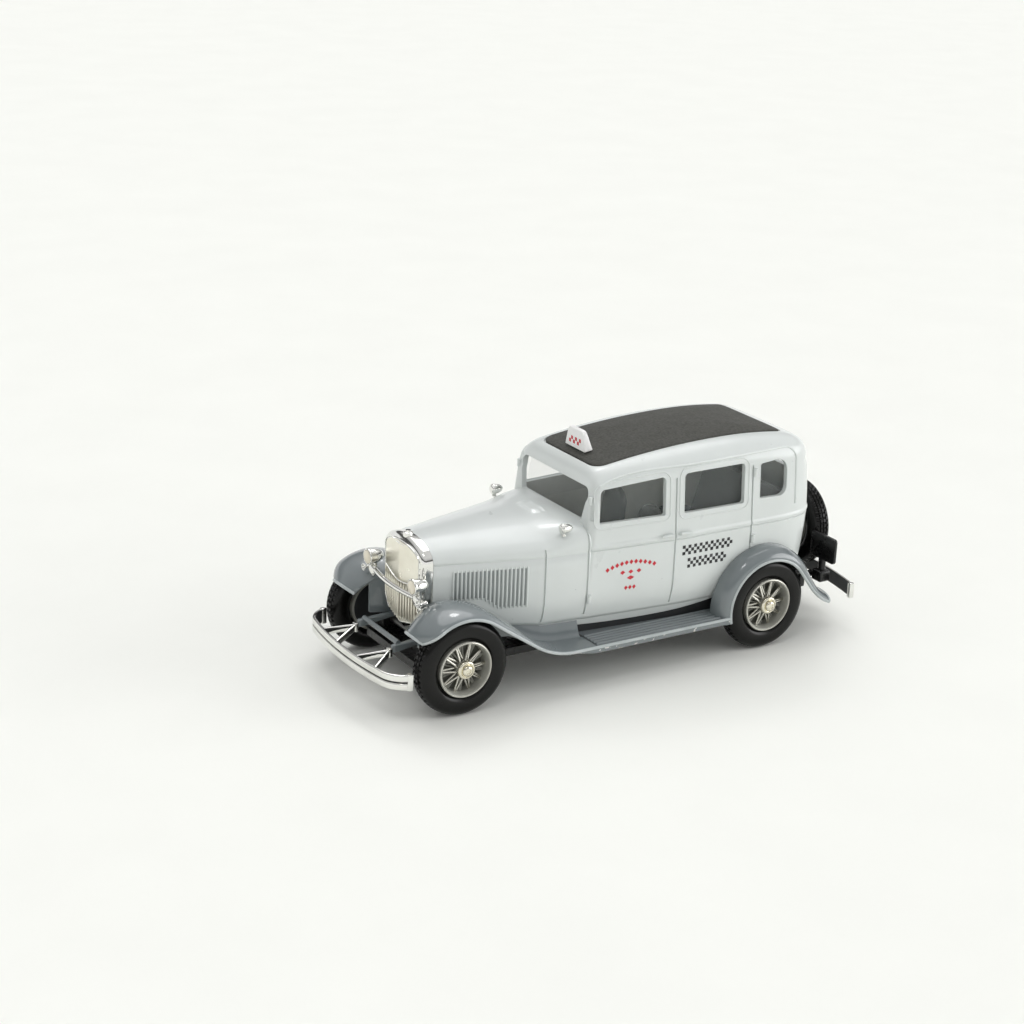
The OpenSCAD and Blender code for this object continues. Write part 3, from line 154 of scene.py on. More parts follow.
def eased(t):
    s = limited(t)
    return s * s * (3 - 2 * s)


def power(base, exponent):
    return max(base, 0.0) ** exponent


def steps(first, last, count):
    """count + 1 numbers from first to last."""
    return [mix(first, last, i / count) for i in range(count + 1)]


def rounds(count):
    """Angles of count equal parts of a full turn."""
    return [2 * pi * i / count for i in range(count)]


def quarter(count=16):
    """Angles over a quarter of a turn."""
    return steps(0, pi / 2, count)


def cosine(angle):
    """Of an angle in degrees."""
    return cos(radians(angle))


def sine(angle):
    """Of an angle in degrees."""
    return sin(radians(angle))


def soft(value, shape):
    """Power of a sine or cosine with its sign kept: squarer than round below 1."""
    return math.copysign(abs(value) ** shape, value)


def arc(centre, r, first, last, count=12):
    """Points of an arc; angles in degrees."""
    return [(centre[0] + r * cosine(a), centre[1] + r * sine(a)) for a in steps(first, last, count)]


def line(first, last, count=8):
    """Points on a straight line."""
    return [tuple(mix(a, b, t) for a, b in zip(first, last)) for t in steps(0, 1, count)]


# Mesh parts: each is a list of points and a list of faces
def grid(rows, wrap_rows=False, wrap_columns=True):
    count = len(rows)
    length = len(rows[0])
    points = [tuple(p) for row in rows for p in row]
    faces = []
    for i in range(count if wrap_rows else count - 1):
        here = i * length
        there = ((i + 1) % count) * length
        for j in range(length if wrap_columns else length - 1):
            k = (j + 1) % length
            faces.append((here + j, here + k, there + k, there + j))
    return points, faces


def loft(rings):
    """Closed solid through rings of points."""
    points, faces = grid(rings)
    length = len(rings[0])
    faces.append(tuple(range(length)))
    faces.append(tuple(range(len(points) - length, len(points))))
    return points, faces


def joined(*parts):
    points = []
    faces = []
    for part_points, part_faces in parts:
        start = len(points)
        points.extend(part_points)
        faces.extend(tuple(start + i for i in face) for face in part_faces)
    return points, faces


def moved(part, matrix):
    return [tuple(matrix @ Vector(p)) for p in part[0]], part[1]


def shift(*by):
    return Matrix.Translation(by)


def turned(angle, axis):
    return Matrix.Rotation(angle, 4, axis)


def mirrored(part):
    return [(x, -y, z) for x, y, z in part[0]], [tuple(reversed(face)) for face in part[1]]


def both_sides(*parts):
    part = joined(*parts)
    return joined(part, mirrored(part))


def tube(path, radius, sides=12, closed=False):
    """Round bar along a path; radius is one number or one for each point."""
    path = [Vector(p) for p in path]
    count = len(path)
    across = None
    rings = []
    for i, point in enumerate(path):
        before = path[i - 1] if i > 0 or closed else point
        after = path[(i + 1) % count] if i < count - 1 or closed else point
        along = (after - before).normalized()
        across = along.orthogonal() if across is None else across
        across = (across - along * across.dot(along)).normalized()
        up = along.cross(across)
        r = radius[i] if isinstance(radius, list) else radius
        rings.append([point + r * (cos(a) * across + sin(a) * up) for a in rounds(sides)])
    return grid(rings, wrap_rows=True) if closed else loft(rings)


def circle(r, z, sides):
    return [(r * cos(a), r * sin(a), z) for a in rounds(sides)]


def revolve(profile, sides=64):
    """Solid of revolution about Z from [radius, height] points."""
    return grid([circle(r, z, sides) for r, z in profile])


def prism(outline, low, high, axis):
    """Outline of two coordinates, drawn out along axis (0 is x, 1 is y, 2 is z)."""
    def at(p, along):
        point = list(p)
        point.insert(axis, along)
        return tuple(point)
    return loft([[at(p, low) for p in outline], [at(p, high) for p in outline]])


def block(low, high, bevel=0.2, segments=3):
    """Box between two corners with rounded edges."""
    mesh = bmesh.new()
    bmesh.ops.create_cube(mesh, size=1)
    low = Vector(low)
    high = Vector(high)
    for vertex in mesh.verts:
        vertex.co = Vector(mix(low[i], high[i], vertex.co[i] + 0.5) for i in range(3))
    bmesh.ops.bevel(mesh, geom=mesh.edges[:], offset=bevel, segments=segments, profile=0.5, affect="EDGES")
    mesh.verts.index_update()
    part = [tuple(v.co) for v in mesh.verts], [tuple(v.index for v in f.verts) for f in mesh.faces]
    mesh.free()
    return part


def hull_outline(circles, sides=48):
    """Convex outline round circles given as (x, y, radius)."""
    points = sorted((x + r * cos(a), y + r * sin(a)) for x, y, r in circles for a in rounds(sides))

    def half(ordered):
        chain = []
        for p in ordered:
            while len(chain) > 1 and turn(chain[-2], chain[-1], p) <= 1e-9:
                chain.pop()
            chain.append(p)
        return chain[:-1]
    return half(points) + half(points[::-1])


def turn(a, b, c):
    """More than 0 where the way from a over b to c bends to the left."""
    return (b[0] - a[0]) * (c[1] - a[1]) - (b[1] - a[1]) * (c[0] - a[0])


# Objects
WELD = 1e-5
THINNEST = 1e-6
SMOOTH_ANGLE = 35


def raw_object(name, part):
    """Mesh object in millimetres, with its faces turned outwards."""
    mesh = bpy.data.meshes.new(name)
    mesh.from_pydata(part[0], [], part[1])
    work = bmesh.new()
    work.from_mesh(mesh)
    bmesh.ops.remove_doubles(work, verts=work.verts[:], dist=WELD)
    bmesh.ops.dissolve_degenerate(work, edges=work.edges[:], dist=THINNEST)
    bmesh.ops.recalc_face_normals(work, faces=work.faces[:])
    work.to_mesh(mesh)
    work.free()
    obj = bpy.data.objects.new(name, mesh)
    bpy.context.scene.collection.objects.link(obj)
    return obj


TO_FRAME = Matrix.Scale(MM, 4) @ shift(MIDDLE_X, 0, 0)


def finish_mesh(mesh, material, smooth_angle):
    mesh.polygons.foreach_set("use_smooth", [True] * len(mesh.polygons))
    mesh.set_sharp_from_angle(angle=radians(smooth_angle))
    mesh.materials.clear()
    mesh.materials.append(material)


def piece(name, part, material, replaces=(), smooth_angle=SMOOTH_ANGLE):
    """Turns a mesh part into a piece that rides on the chassis."""
    obj = raw_object(name, part)
    obj.data.transform(TO_FRAME)
    finish_mesh(obj.data, material, smooth_angle)
    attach(obj, "chassis")
    if replaces:
        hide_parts(*replaces)


def combine(base, part, operation):
    """Boolean of a mesh part on the object base."""
    tool = raw_object("tool", part)
    modifier = base.modifiers.new("combine", "BOOLEAN")
    modifier.operation = operation
    modifier.solver = "MANIFOLD"
    modifier.object = tool
    graph = bpy.context.evaluated_depsgraph_get()
    mesh = bpy.data.meshes.new_from_object(base.evaluated_get(graph))
    base.modifiers.clear()
    base.data = mesh
    bpy.data.objects.remove(tool)


# Materials: colours lie between two tones in patches of noise; bump depths are in metres
PATCH_FROM = 0.3
PATCH_TO = 0.7
PAINT_BUMP = 0.00003
PLASTIC_BUMP = 0.00004
GRAIN_BUMP = 0.0001
DUST_SIZE = 0.035
CHIP_SHARE = 0.62


def srgb(red, green, blue):
    def linear(value):
        share = value / 255
        return share / 12.92 if share <= 0.04045 else ((share + 0.055) / 1.055) ** 2.4
    return (linear(red), linear(green), linear(blue), 1.0)


class Finish:
    """Node material: a Principled shader whose colour, roughness and bump come from procedural textures."""

    def __init__(self, name, **constants):
        self.material = bpy.data.materials.new(name)
        self.material.use_nodes = True
        self.nodes = self.material.node_tree.nodes
        self.links = self.material.node_tree.links
        self.shader = self.nodes["Principled BSDF"]
        self.place = self.nodes.new("ShaderNodeTexCoord").outputs["Object"]
        for socket, value in constants.items():
            self.shader.inputs[socket.replace("_", " ")].default_value = value

    def noise(self, scale, detail=4, stretch=(1, 1, 1)):
        node = self.nodes.new("ShaderNodeTexNoise")
        node.inputs["Scale"].default_value = scale
        node.inputs["Detail"].default_value = detail
        self.links.new(self.stretched(stretch), node.inputs["Vector"])
        return node.outputs["Fac"]

    def cells(self, scale):
        node = self.nodes.new("ShaderNodeTexVoronoi")
        node.inputs["Scale"].default_value = scale
        self.links.new(self.place, node.inputs["Vector"])
        return node.outputs["Distance"]

    def stretched(self, stretch):
        if stretch == (1, 1, 1):
            return self.place
        node = self.nodes.new("ShaderNodeMapping")
        node.inputs["Scale"].default_value = stretch
        self.links.new(self.place, node.inputs["Vector"])
        return node.outputs["Vector"]

    def ramp(self, factor, *stops):
        node = self.nodes.new("ShaderNodeValToRGB")
        while len(node.color_ramp.elements) < len(stops):
            node.color_ramp.elements.new(0.5)
        for element, (position, colour) in zip(node.color_ramp.elements, stops):
            element.position = position
            element.color = colour
        self.links.new(factor, node.inputs["Fac"])
        return node.outputs["Color"]

    def tones(self, factor, low, high):
        """Colour in patches of two tones, each red, green and blue out of 255."""
        return self.ramp(factor, (PATCH_FROM, srgb(*low)), (PATCH_TO, srgb(*high)))

    def math(self, operation, *values):
        node = self.nodes.new("ShaderNodeMath")
        node.operation = operation
        for socket, value in zip(node.inputs, values):
            if isinstance(value, (int, float)):
                socket.default_value = value
            else:
                self.links.new(value, socket)
        return node.outputs["Value"]

    def axis(self, name):
        node = self.nodes.new("ShaderNodeSeparateXYZ")
        self.links.new(self.place, node.inputs["Vector"])
        return node.outputs[name]

    def blend(self, factor, first, second):
        node = self.nodes.new("ShaderNodeMix")
        node.data_type = "RGBA"
        self.links.new(factor, node.inputs["Factor"])
        for socket, value in ((node.inputs["A"], first), (node.inputs["B"], second)):
            if isinstance(value, tuple):
                socket.default_value = value
            else:
                self.links.new(value, socket)
        return node.outputs["Result"]

    def colour(self, source):
        self.links.new(source, self.shader.inputs["Base Color"])
        return self

    def roughness(self, factor, low, high):
        node = self.nodes.new("ShaderNodeMapRange")
        node.inputs["To Min"].default_value = low
        node.inputs["To Max"].default_value = high
        self.links.new(factor, node.inputs["Value"])
        self.links.new(node.outputs["Result"], self.shader.inputs["Roughness"])
        return self

    def bump(self, height, strength, distance):
        node = self.nodes.new("ShaderNodeBump")
        node.inputs["Strength"].default_value = strength
        node.inputs["Distance"].default_value = distance
        self.links.new(height, node.inputs["Height"])
        self.links.new(node.outputs["Normal"], self.shader.inputs["Normal"])
        return self


def body_paint():
    finish = Finish("body_paint", Coat_Weight=0.5, Coat_Roughness=0.06)
    tone = finish.tones(finish.noise(90), (212, 217, 215), (218, 223, 221))
    dust = finish.math("LESS_THAN", finish.cells(420), DUST_SIZE)
    finish.colour(finish.blend(dust, tone, srgb(176, 180, 181)))
    finish.roughness(finish.noise(260), 0.24, 0.36)
    return finish.bump(finish.noise(1500, 2), 0.05, PAINT_BUMP).material


def fender_paint():
    finish = Finish("fender_paint", Coat_Weight=0.7, Coat_Roughness=0.03)
    tone = finish.tones(finish.noise(110), (114, 122, 124), (123, 130, 132))
    # Chips along the outer edge of the running boards
    outside = finish.math("GREATER_THAN", finish.math("ABSOLUTE", finish.axis("Y")), (LIP_Y - 0.15) * MM)
    low = finish.math("LESS_THAN", finish.axis("Z"), (BOARD_Z + 0.05) * MM)
    worn = finish.math("GREATER_THAN", finish.noise(1600, 6, (0.5, 1, 1)), CHIP_SHARE)
    chips = finish.math("MULTIPLY", finish.math("MULTIPLY", outside, low), worn)
    finish.colour(finish.blend(chips, tone, srgb(214, 214, 208)))
    finish.roughness(finish.noise(300), 0.16, 0.26)
    return finish.bump(finish.noise(1800, 2), 0.04, PAINT_BUMP).material


def roof_fabric():
    finish = Finish("roof_fabric", Specular_IOR_Level=0.35)
    grain = finish.cells(3600)
    finish.colour(finish.tones(finish.noise(2400, 3), (62, 62, 58), (82, 82, 77)))
    finish.roughness(finish.noise(600), 0.62, 0.85)
    return finish.bump(grain, 0.3, GRAIN_BUMP).material


def chrome(name, low, high, rough_low, rough_high):
    finish = Finish(name, Metallic=1.0)
    finish.colour(finish.tones(finish.noise(200), low, high))
    finish.roughness(finish.noise(500, 5), rough_low, rough_high)
    return finish.bump(finish.noise(700, 2), 0.03, PAINT_BUMP).material


def plastic(name, low, high, rough_low, rough_high, scale=900, strength=0.05, specular=0.5):
    finish = Finish(name, Specular_IOR_Level=specular)
    finish.colour(finish.tones(finish.noise(scale / 4), low, high))
    finish.roughness(finish.noise(scale / 2), rough_low, rough_high)
    return finish.bump(finish.noise(scale, 3), strength, PLASTIC_BUMP).material


def glass():
    finish = Finish("clear_window", Alpha=0.06, Specular_IOR_Level=0.3)
    finish.colour(finish.tones(finish.noise(60), (205, 214, 214), (222, 230, 230)))
    return finish.roughness(finish.noise(150), 0.02, 0.08).material


def ink(name, low, high):
    finish = Finish(name)
    finish.colour(finish.tones(finish.noise(2500, 5), low, high))
    return finish.roughness(finish.noise(1200), 0.3, 0.5).material


BODY_PAINT = body_paint()
FENDER_PAINT = fender_paint()
ROOF_FABRIC = roof_fabric()
CHROME = chrome("chrome", (226, 226, 222), (240, 240, 236), 0.05, 0.14)
SATIN = chrome("satin_plate", (234, 230, 216), (246, 243, 231), 0.24, 0.34)
NICKEL = chrome("hub_nickel", (222, 216, 196), (238, 234, 218), 0.14, 0.26)
SPOKE_METAL = chrome("spoke_nickel", (196, 194, 184), (216, 214, 206), 0.2, 0.32)
STEEL = chrome("steel", (150, 150, 148), (176, 176, 172), 0.25, 0.4)
# Satin silver of the rims; on the rear row of spokes the same darker silver is painted shade
WHEEL_SILVER = plastic("wheel_silver", (140, 140, 133), (162, 162, 154), 0.32, 0.45, 1200, 0.06)
RUBBER = plastic("tyre_rubber", (10, 10, 9), (16, 16, 14), 0.2, 0.3, 1500, 0.06, specular=0.26)
BLACK = plastic("black_moulding", (13, 13, 13), (24, 24, 24), 0.2, 0.34, strength=0.08)
INTERIOR = plastic("interior_moulding", (84, 84, 79), (98, 98, 92), 0.2, 0.3, 2200)
LINING = plastic("cabin_lining", (222, 222, 214), (232, 232, 225), 0.5, 0.7, 2200, 0.2)
SIGN_WHITE = plastic("sign_white", (240, 240, 238), (248, 248, 247), 0.26, 0.36)
# Cream tone on the clear headlamp lenses: a painted reflection
LENS_PAINTED_REFLECTION = plastic("lamp_lens", (232, 224, 204), (246, 240, 224), 0.08, 0.16, 1800, 0.2)
GLASS = glass()
RED_INK = ink("red_ink", (188, 24, 40), (210, 44, 58))
BLACK_INK = ink("black_ink", (28, 28, 30), (52, 52, 54))
# Painted shade: warm dark grey laid between the grille's bars
PAINTED_GRILLE_SHADE = plastic("painted_grille_shade", (120, 112, 98), (150, 142, 126), 0.35, 0.5)
# Painted shade: grey laid in the gaps between the hood's louvers
PAINTED_LOUVER_SHADE = plastic("painted_louver_shade", (136, 142, 142), (150, 156, 155), 0.4, 0.55)
DRUM_GREY = plastic("drum_grey", (84, 84, 76), (104, 104, 95), 0.35, 0.5, 1200, 0.06)
# Painted highlight: light grey on the fenders' rolled lips
PAINTED_LIP_HIGHLIGHT = plastic("painted_lip_highlight", (168, 175, 176), (190, 196, 196), 0.1, 0.18)
# Painted shade: near black for the wall under the body's sides, the web in the bumpers' grooves and the
# back of the wheels; also the dark seam line across the running boards
PAINTED_SHADE_AND_SEAM = plastic("painted_shade_and_seam_dark", (30, 32, 33), (42, 44, 46), 0.4, 0.55)


# Body form
SWELL_POWER = 1.15
TUCK_POWER = 1.4
TAIL_BEND_LEN = 12.8
TAIL_SQUARENESS = 3.2
PANEL_BEND_LEN = 3
PANEL_SQUARENESS = 8
COWL_SQUARENESS = 3.8
HOOD_SQUARENESS = 2.3
HOOD_GAP = 0.06
TAIL_LOW_Z = SILL_Z + 3.3


def belt_half(x):
    """Half of the width at the belt line."""
    if x > COWL_X:
        return mix(COWL_W, NOSE_W, (x - COWL_X) / HOOD_LEN) / 2
    return mix(BODY_W, COWL_W, power(1 - (COWL_X - x) / SWELL_LEN, SWELL_POWER)) / 2


def side_in(z):
    """How far the side lies inside the belt line's width."""
    if z < TURN_Z:
        return TURN_IN * power((TURN_Z - z) / (TURN_Z - SILL_Z), 2)
    return TUMBLE * limited((z - BELT_Z) / (WALL_TOP_Z - BELT_Z))


def tail_at(z):
    """Rear end of the body at a height."""
    if z < BELT_Z:
        return TAIL_X + TUCK * power((BELT_Z - z) / (BELT_Z - SILL_Z), TUCK_POWER)
    return TAIL_X + TAIL_LEAN * power((z - BELT_Z) / (WALL_TOP_Z - BELT_Z), 2)


def screen_at(z):
    """Front of the screen at a height."""
    return SCREEN_X - SCREEN_LEAN * (z - COWL_TOP_Z)


def roof_drop(x):
    """How far the roof's arch lies below its peak."""
    if x > ROOF_PEAK_X:
        return ROOF_FRONT_DROP * ((x - ROOF_PEAK_X) / (PANEL_FRONT_X - ROOF_PEAK_X)) ** 2
    return ROOF_REAR_DROP * ((x - ROOF_PEAK_X) / (PANEL_REAR_X - ROOF_PEAK_X)) ** 2


# Belt moulding: a fine groove under a low round bead
BELT_GROOVE = 0.16
BELT_BEAD = 0.14
BEAD_FROM = 0.1
BEAD_H = 1.0


def belt_relief(z):
    rise = z - BELT_Z
    if abs(rise) < BEAD_FROM:
        return -BELT_GROOVE * cos(pi / 2 * rise / BEAD_FROM)
    if 0 < rise < BEAD_FROM + BEAD_H:
        return BELT_BEAD * sin(pi * (rise - BEAD_FROM) / BEAD_H)
    return 0.0


BELT_LEVELS = steps(BELT_Z - BEAD_FROM, BELT_Z + BEAD_FROM, 6)
BELT_LEVELS += steps(BELT_Z + 2 * BEAD_FROM, BELT_Z + BEAD_FROM + BEAD_H, 8)


def cabin_half_at(x, z, m):
    return mix(belt_half(x) - side_in(z), PANEL_W / 2, m)


def cabin_half_outline(z, m, inset):
    """Left half of the cabin's plan; m is the share of the way from the wall to the roof panel."""
    wall_z = min(z, WALL_TOP_Z)
    front = mix(screen_at(wall_z), PANEL_FRONT_X, m) - inset
    rear = mix(tail_at(wall_z), PANEL_REAR_X, m) + inset
    corner = mix(SCREEN_CORNER_R, PANEL_CORNER_R, m)
    bend = mix(TAIL_X + TAIL_BEND_LEN, PANEL_REAR_X + PANEL_BEND_LEN, m)
    squareness = mix(TAIL_SQUARENESS, PANEL_SQUARENESS, m)
    side_from = front - corner
    screen_y = cabin_half_at(front, wall_z, m) - corner - inset
    side_y = cabin_half_at(side_from, wall_z, m) - inset
    bend_y = cabin_half_at(bend, wall_z, m) - inset
    outline = [(front, k * screen_y) for k in steps(0, 1, 8)[:-1]]
    for a in quarter(8)[:-1]:
        outline.append((side_from + corner * cos(a), side_y - corner + corner * sin(a)))
    for x in steps(side_from, bend, 48)[:-1]:
        outline.append((x, cabin_half_at(x, wall_z, m) - inset))
    for a in quarter(36):
        x = bend - (bend - rear) * power(sin(a), 2 / squareness)
        outline.append((x, bend_y * power(cos(a), 2 / squareness)))
    return outline


def full_ring(half):
    return half + [(x, -y) for x, y in half[-2:0:-1]]


def cabin_ring(z, m, inset):
    arch = limited((z - ARCH_FROM_Z) / (WALL_TOP_Z - ARCH_FROM_Z))
    ring = full_ring(cabin_half_outline(z, m, inset))
    return [(x, y, z - arch * roof_drop(x) - inset * m) for x, y in ring]


def panel_ring(k, inset, lift):
    """Ring inside the roof panel's edge, k of the way from the roof's middle to that edge."""
    centre_x = (PANEL_FRONT_X + PANEL_REAR_X) / 2
    ring = []
    for px, py, _ in cabin_ring(ROOF_EDGE_Z, 1, inset):
        x = mix(centre_x, px, k)
        ring.append((x, k * py, ROOF_EDGE_Z - roof_drop(x) - inset + lift + ROOF_CROWN * (1 - k * k)))
    return ring


PANEL_SHARES = [0.9, 0.75, 0.6, 0.45, 0.3, 0.15, 0.04]
RECESS_SHARE = 0.995
ROOF_LEVELS = [(mix(WALL_TOP_Z, ROOF_EDGE_Z, sin(a)), 1 - cos(a)) for a in quarter()[1:]]


def cabin_form(inset=0.0, recess=0.0, foot=0.0):
    """Cabin as a closed solid; an inset one hollows it, and foot carries that down through the floor."""
    walls = steps(SILL_Z, TURN_Z, 10)[:-1] + steps(TURN_Z, BELT_Z - 0.2, 4) + BELT_LEVELS
    walls += steps(BELT_Z + BEAD_FROM + BEAD_H + 0.2, WALL_TOP_Z, 16)
    rings = []
    if foot:
        rings.append([(x, y, SILL_Z - foot) for x, y, z in cabin_ring(SILL_Z, 0, inset)])
    rings += [cabin_ring(z, 0, inset if inset else -belt_relief(z)) for z in walls]
    rings += [cabin_ring(z, m, inset) for z, m in ROOF_LEVELS]
    if recess:
        rings.append(panel_ring(RECESS_SHARE, inset, -recess))
    rings += [panel_ring(k, inset, -recess) for k in PANEL_SHARES]
    return loft(rings)


def hood_low(x):
    return SILL_Z + HOOD_GAP + HOOD_RISE * limited((x - COWL_X) / HOOD_LEN)


def hood_top(x):
    return mix(COWL_TOP_Z, NOSE_TOP_Z, limited((x - SCREEN_X) / (NOSE_X - SCREEN_X)))


def hood_squareness(x):
    return mix(COWL_SQUARENESS, HOOD_SQUARENESS, eased((x - SCREEN_X) / COWL_LEN))


# Vent on top of the cowl
VENT_X = SCREEN_X + 3.6
VENT_HALF = (1.7, 2.4)
VENT_H = 0.3
VENT_OUT = 0.3
VENT_EDGE = 0.5


def vent_rise(x, y):
    along = eased((VENT_HALF[0] + VENT_OUT - abs(x - VENT_X)) / VENT_EDGE)
    across = eased((VENT_HALF[1] + VENT_OUT - abs(y)) / VENT_EDGE)
    return VENT_H * along * across


def hood_ring(x, inset, foot=0.0):
    w = belt_half(x) - inset
    top = hood_top(x) - inset
    low = hood_low(x)
    n = hood_squareness(x)
    half = [(w - side_in(low), low - foot)] if foot else []
    heights = steps(low, TURN_Z, 8) + steps(TURN_Z, BELT_Z - BEAD_FROM, 3)[1:]
    heights += [BELT_Z + dz for dz in steps(-BEAD_FROM, 0, 3)[1:-1]]
    for z in heights:
        half.append((w - side_in(z) + (0 if inset else min(0, belt_relief(z))), z))
    for a in quarter(40):
        z = BELT_Z + (top - BELT_Z) * power(sin(a), 2 / n)
        y = w * power(cos(a), 2 / n) + (0 if inset else min(0, belt_relief(z)))
        half.append((max(y, 0), z + (0 if inset else vent_rise(x, y))))
    return [(x, y, z) for y, z in half] + [(x, -y, z) for y, z in half[-2::-1]]


# The hood runs on a little into the cabin, so that the two solids join
HOOD_INTO_CABIN = 0.7
HOOD_END_INSET = 0.4


def hood_form(inset=0.0, front_wall=0.0, foot=0.0):
    stations = steps(NOSE_X - front_wall, COWL_X, 14)[:-1] + steps(COWL_X, SCREEN_X, 40)
    rings = [hood_ring(x, inset, foot) for x in stations]
    end = hood_ring(SCREEN_X, inset + HOOD_END_INSET, foot)
    rings.append([(x - HOOD_INTO_CABIN, y, z) for x, y, z in end])
    return loft(rings)


# Windows: circles at the corners of each opening, seen from the left
def window_circles(front, rear, low, top, corners):
    """corners are (ahead or back, up or down, radius) from the opening's lower front corner round."""
    ends = ((front, low), (rear, low), (rear, top), (front, top))
    return [(x + dx, z + dz, r) for (x, z), (dx, dz, r) in zip(ends, corners)]


FRONT_WINDOW = window_circles(DOOR_FRONT_X - 1.9, DOOR_MIDDLE_X + 2, WINDOW_LOW_Z, WINDOW_TOP_Z,
                              ((-0.4, 0.4, 0.4), (0.4, 0.4, 0.4), (0.9, -1, 0.9), (-1.3, -2.1, 1.1)))
REAR_WINDOW = window_circles(DOOR_MIDDLE_X - 1.6, DOOR_REAR_X + 1.7, WINDOW_LOW_Z, WINDOW_TOP_Z,
                             ((-0.4, 0.3, 0.4), (0.6, 0.4, 0.6), (0.9, -0.7, 0.9), (-0.9, -0.8, 0.9)))
QUARTER_WINDOW = window_circles(DOOR_REAR_X - 1.6, DOOR_REAR_X - 7.8, WINDOW_LOW_Z, WINDOW_TOP_Z,
                                ((-0.4, 0.5, 0.4), (1.8, 1.8, 1.8), (2.4, -2.5, 2.4), (-0.5, -0.9, 0.5)))
SIDE_WINDOWS = (FRONT_WINDOW, REAR_WINDOW, QUARTER_WINDOW)
SCREEN_CIRCLES = [(side * (SCREEN_W / 2 - inward), z, r) for side in (-1, 1)
                  for inward, z, r in ((0.5, COWL_TOP_Z + 0.15, 0.5), (0.3, WALL_TOP_Z - 1.95, 1.2))]
BACK_W, BACK_H, BACK_Z = BACK_WINDOW
BACK_R = 1.2
BACK_CIRCLES = [(side * (BACK_W / 2 - BACK_R), BACK_Z + up * (BACK_H / 2 - BACK_R), BACK_R)
                for side in (-1, 1) for up in (-1, 1)]
SCREEN_CUT = 3
BACK_CUT = 4


def window_cuts():
    deep = BODY_W
    cuts = [prism(hull_outline(circles), -deep, deep, 1) for circles in SIDE_WINDOWS]
    cuts.append(prism(hull_outline(SCREEN_CIRCLES), SCREEN_X - SCREEN_CUT, SCREEN_X + SCREEN_CUT, 0))
    cuts.append(prism(hull_outline(BACK_CIRCLES), TAIL_X - BACK_CUT, TAIL_X + BACK_CUT, 0))
    return cuts


def wheel_room_cuts():
    """Room for the rear wheels, and the raised edge behind them."""
    gap = 0.9
    r = TYRE_R + gap
    near = TRACK / 2 - TYRE_W / 2 - gap
    outline = [(REAR_AXLE_X + r * cos(a), TYRE_R + r * sin(a)) for a in rounds(96)]
    room = prism(outline, near, near + TYRE_W + 4, 1)
    front_x = REAR_AXLE_X - 7.3
    rear_x = TAIL_X - 1
    low_z = SILL_Z - 2
    edge = [(rear_x, low_z), (front_x, low_z), (front_x, TAIL_LOW_Z), (rear_x, TAIL_LOW_Z)]
    return [room, mirrored(room), prism(edge, -BODY_W, BODY_W, 1)]


# Outer skin without openings, for seating trim on it
cabin_skin = raw_object("cabin_skin", cabin_form(recess=PANEL_RECESS))
hood_skin = raw_object("hood_skin", hood_form())


class Skin:
    """Finds points and smooth normals on an uncut form."""

    def __init__(self, obj):
        mesh = obj.data
        mesh.polygons.foreach_set("use_smooth", [True] * len(mesh.polygons))
        self.points = [v.co.copy() for v in mesh.vertices]
        self.normals = [v.normal.copy() for v in mesh.vertices]
        self.faces = [tuple(p.vertices) for p in mesh.polygons]
        self.tree = BVHTree.FromPolygons(self.points, self.faces)

    def normal_at(self, point, index):
        corners = self.faces[index]
        weights = poly_3d_calc([self.points[i] for i in corners], point)
        return sum((w * self.normals[i] for w, i in zip(weights, corners)), Vector()).normalized()

    def cast(self, origin, direction):
        place, _, index, _ = self.tree.ray_cast(Vector(origin), Vector(direction))
        return None if place is None else (place, self.normal_at(place, index))

    def nearest(self, point):
        place, _, index, distance = self.tree.find_nearest(point)
        return self.normal_at(place, index), distance


CABIN = Skin(cabin_skin)
HOOD = Skin(hood_skin)


def side_hits(x, z):
    """Places and directions where a line from the left meets the cabin and the hood."""
    hits = [skin.cast((x, BODY_W, z), (0, -1, 0)) for skin in (CABIN, HOOD)]
    return [hit for hit in hits if hit]


def on_side(x, z, lift=0.0):
    """Point on the left side's skin at x and z, and the skin's direction there."""
    place, normal = max(side_hits(x, z), key=lambda hit: hit[0].y)
    return place + lift * normal, normal


def side_y(x, z):
    """Half of the width of the skin at x and z, or of its sides drawn on where there is none."""
    found = [place.y for place, normal in side_hits(x, z)]
    return max(found) if found else belt_half(x) - side_in(z)


def groove_cut(foot, head):
    """Thin blade that follows the side from one [x, z] point to another."""
    rings = []
    for dx in (GROOVE_W / 2, -GROOVE_W / 2):
        edge = [(mix(foot[0], head[0], t) + dx, mix(foot[1], head[1], t)) for t in steps(0, 1, 40)]
        outer = [(x, side_y(x, z) + 0.6, z) for x, z in edge]
        inner = [(x, side_y(x, z) - GROOVE_D, z) for x, z in reversed(edge)]
        rings.append(outer + inner)
    return loft(rings)


GROOVES = [((COWL_X, SILL_Z + 0.7), (COWL_X, BELT_Z + 1.4)),
           ((DOOR_FRONT_X, SILL_Z + 1.1), (DOOR_FRONT_X, COWL_TOP_Z - 0.8)),
           ((DOOR_FRONT_X - 0.75, COWL_TOP_Z + 0.4), (DOOR_FRONT_X - 1.1, WALL_TOP_Z - 1.6)),
           ((DOOR_MIDDLE_X, SILL_Z + 0.7), (DOOR_MIDDLE_X, WALL_TOP_Z - 0.3)),
           ((DOOR_REAR_X, TURN_Z + 2.1), (DOOR_REAR_X, WALL_TOP_Z - 0.3))]


# A corner belongs to a skin when it lies this near to it and its face turns this much the same way
ON_SKIN = 1e-3
ALONG_SKIN = 0.8


def smooth_as(mesh, skins):
    """Gives a cut mesh the smooth normals of the forms it was cut from, and flat ones on the cuts."""
    normals = [Vector()] * len(mesh.loops)
    for face in mesh.polygons:
        for i in face.loop_indices:
            point = mesh.vertices[mesh.loops[i].vertex_index].co
            normal = face.normal.copy()
            for skin in skins:
                smooth, distance = skin.nearest(point)
                if distance < ON_SKIN and smooth.dot(face.normal) > ALONG_SKIN:
                    normal = smooth
                    break
            normals[i] = normal
    mesh.normals_split_custom_set(normals)


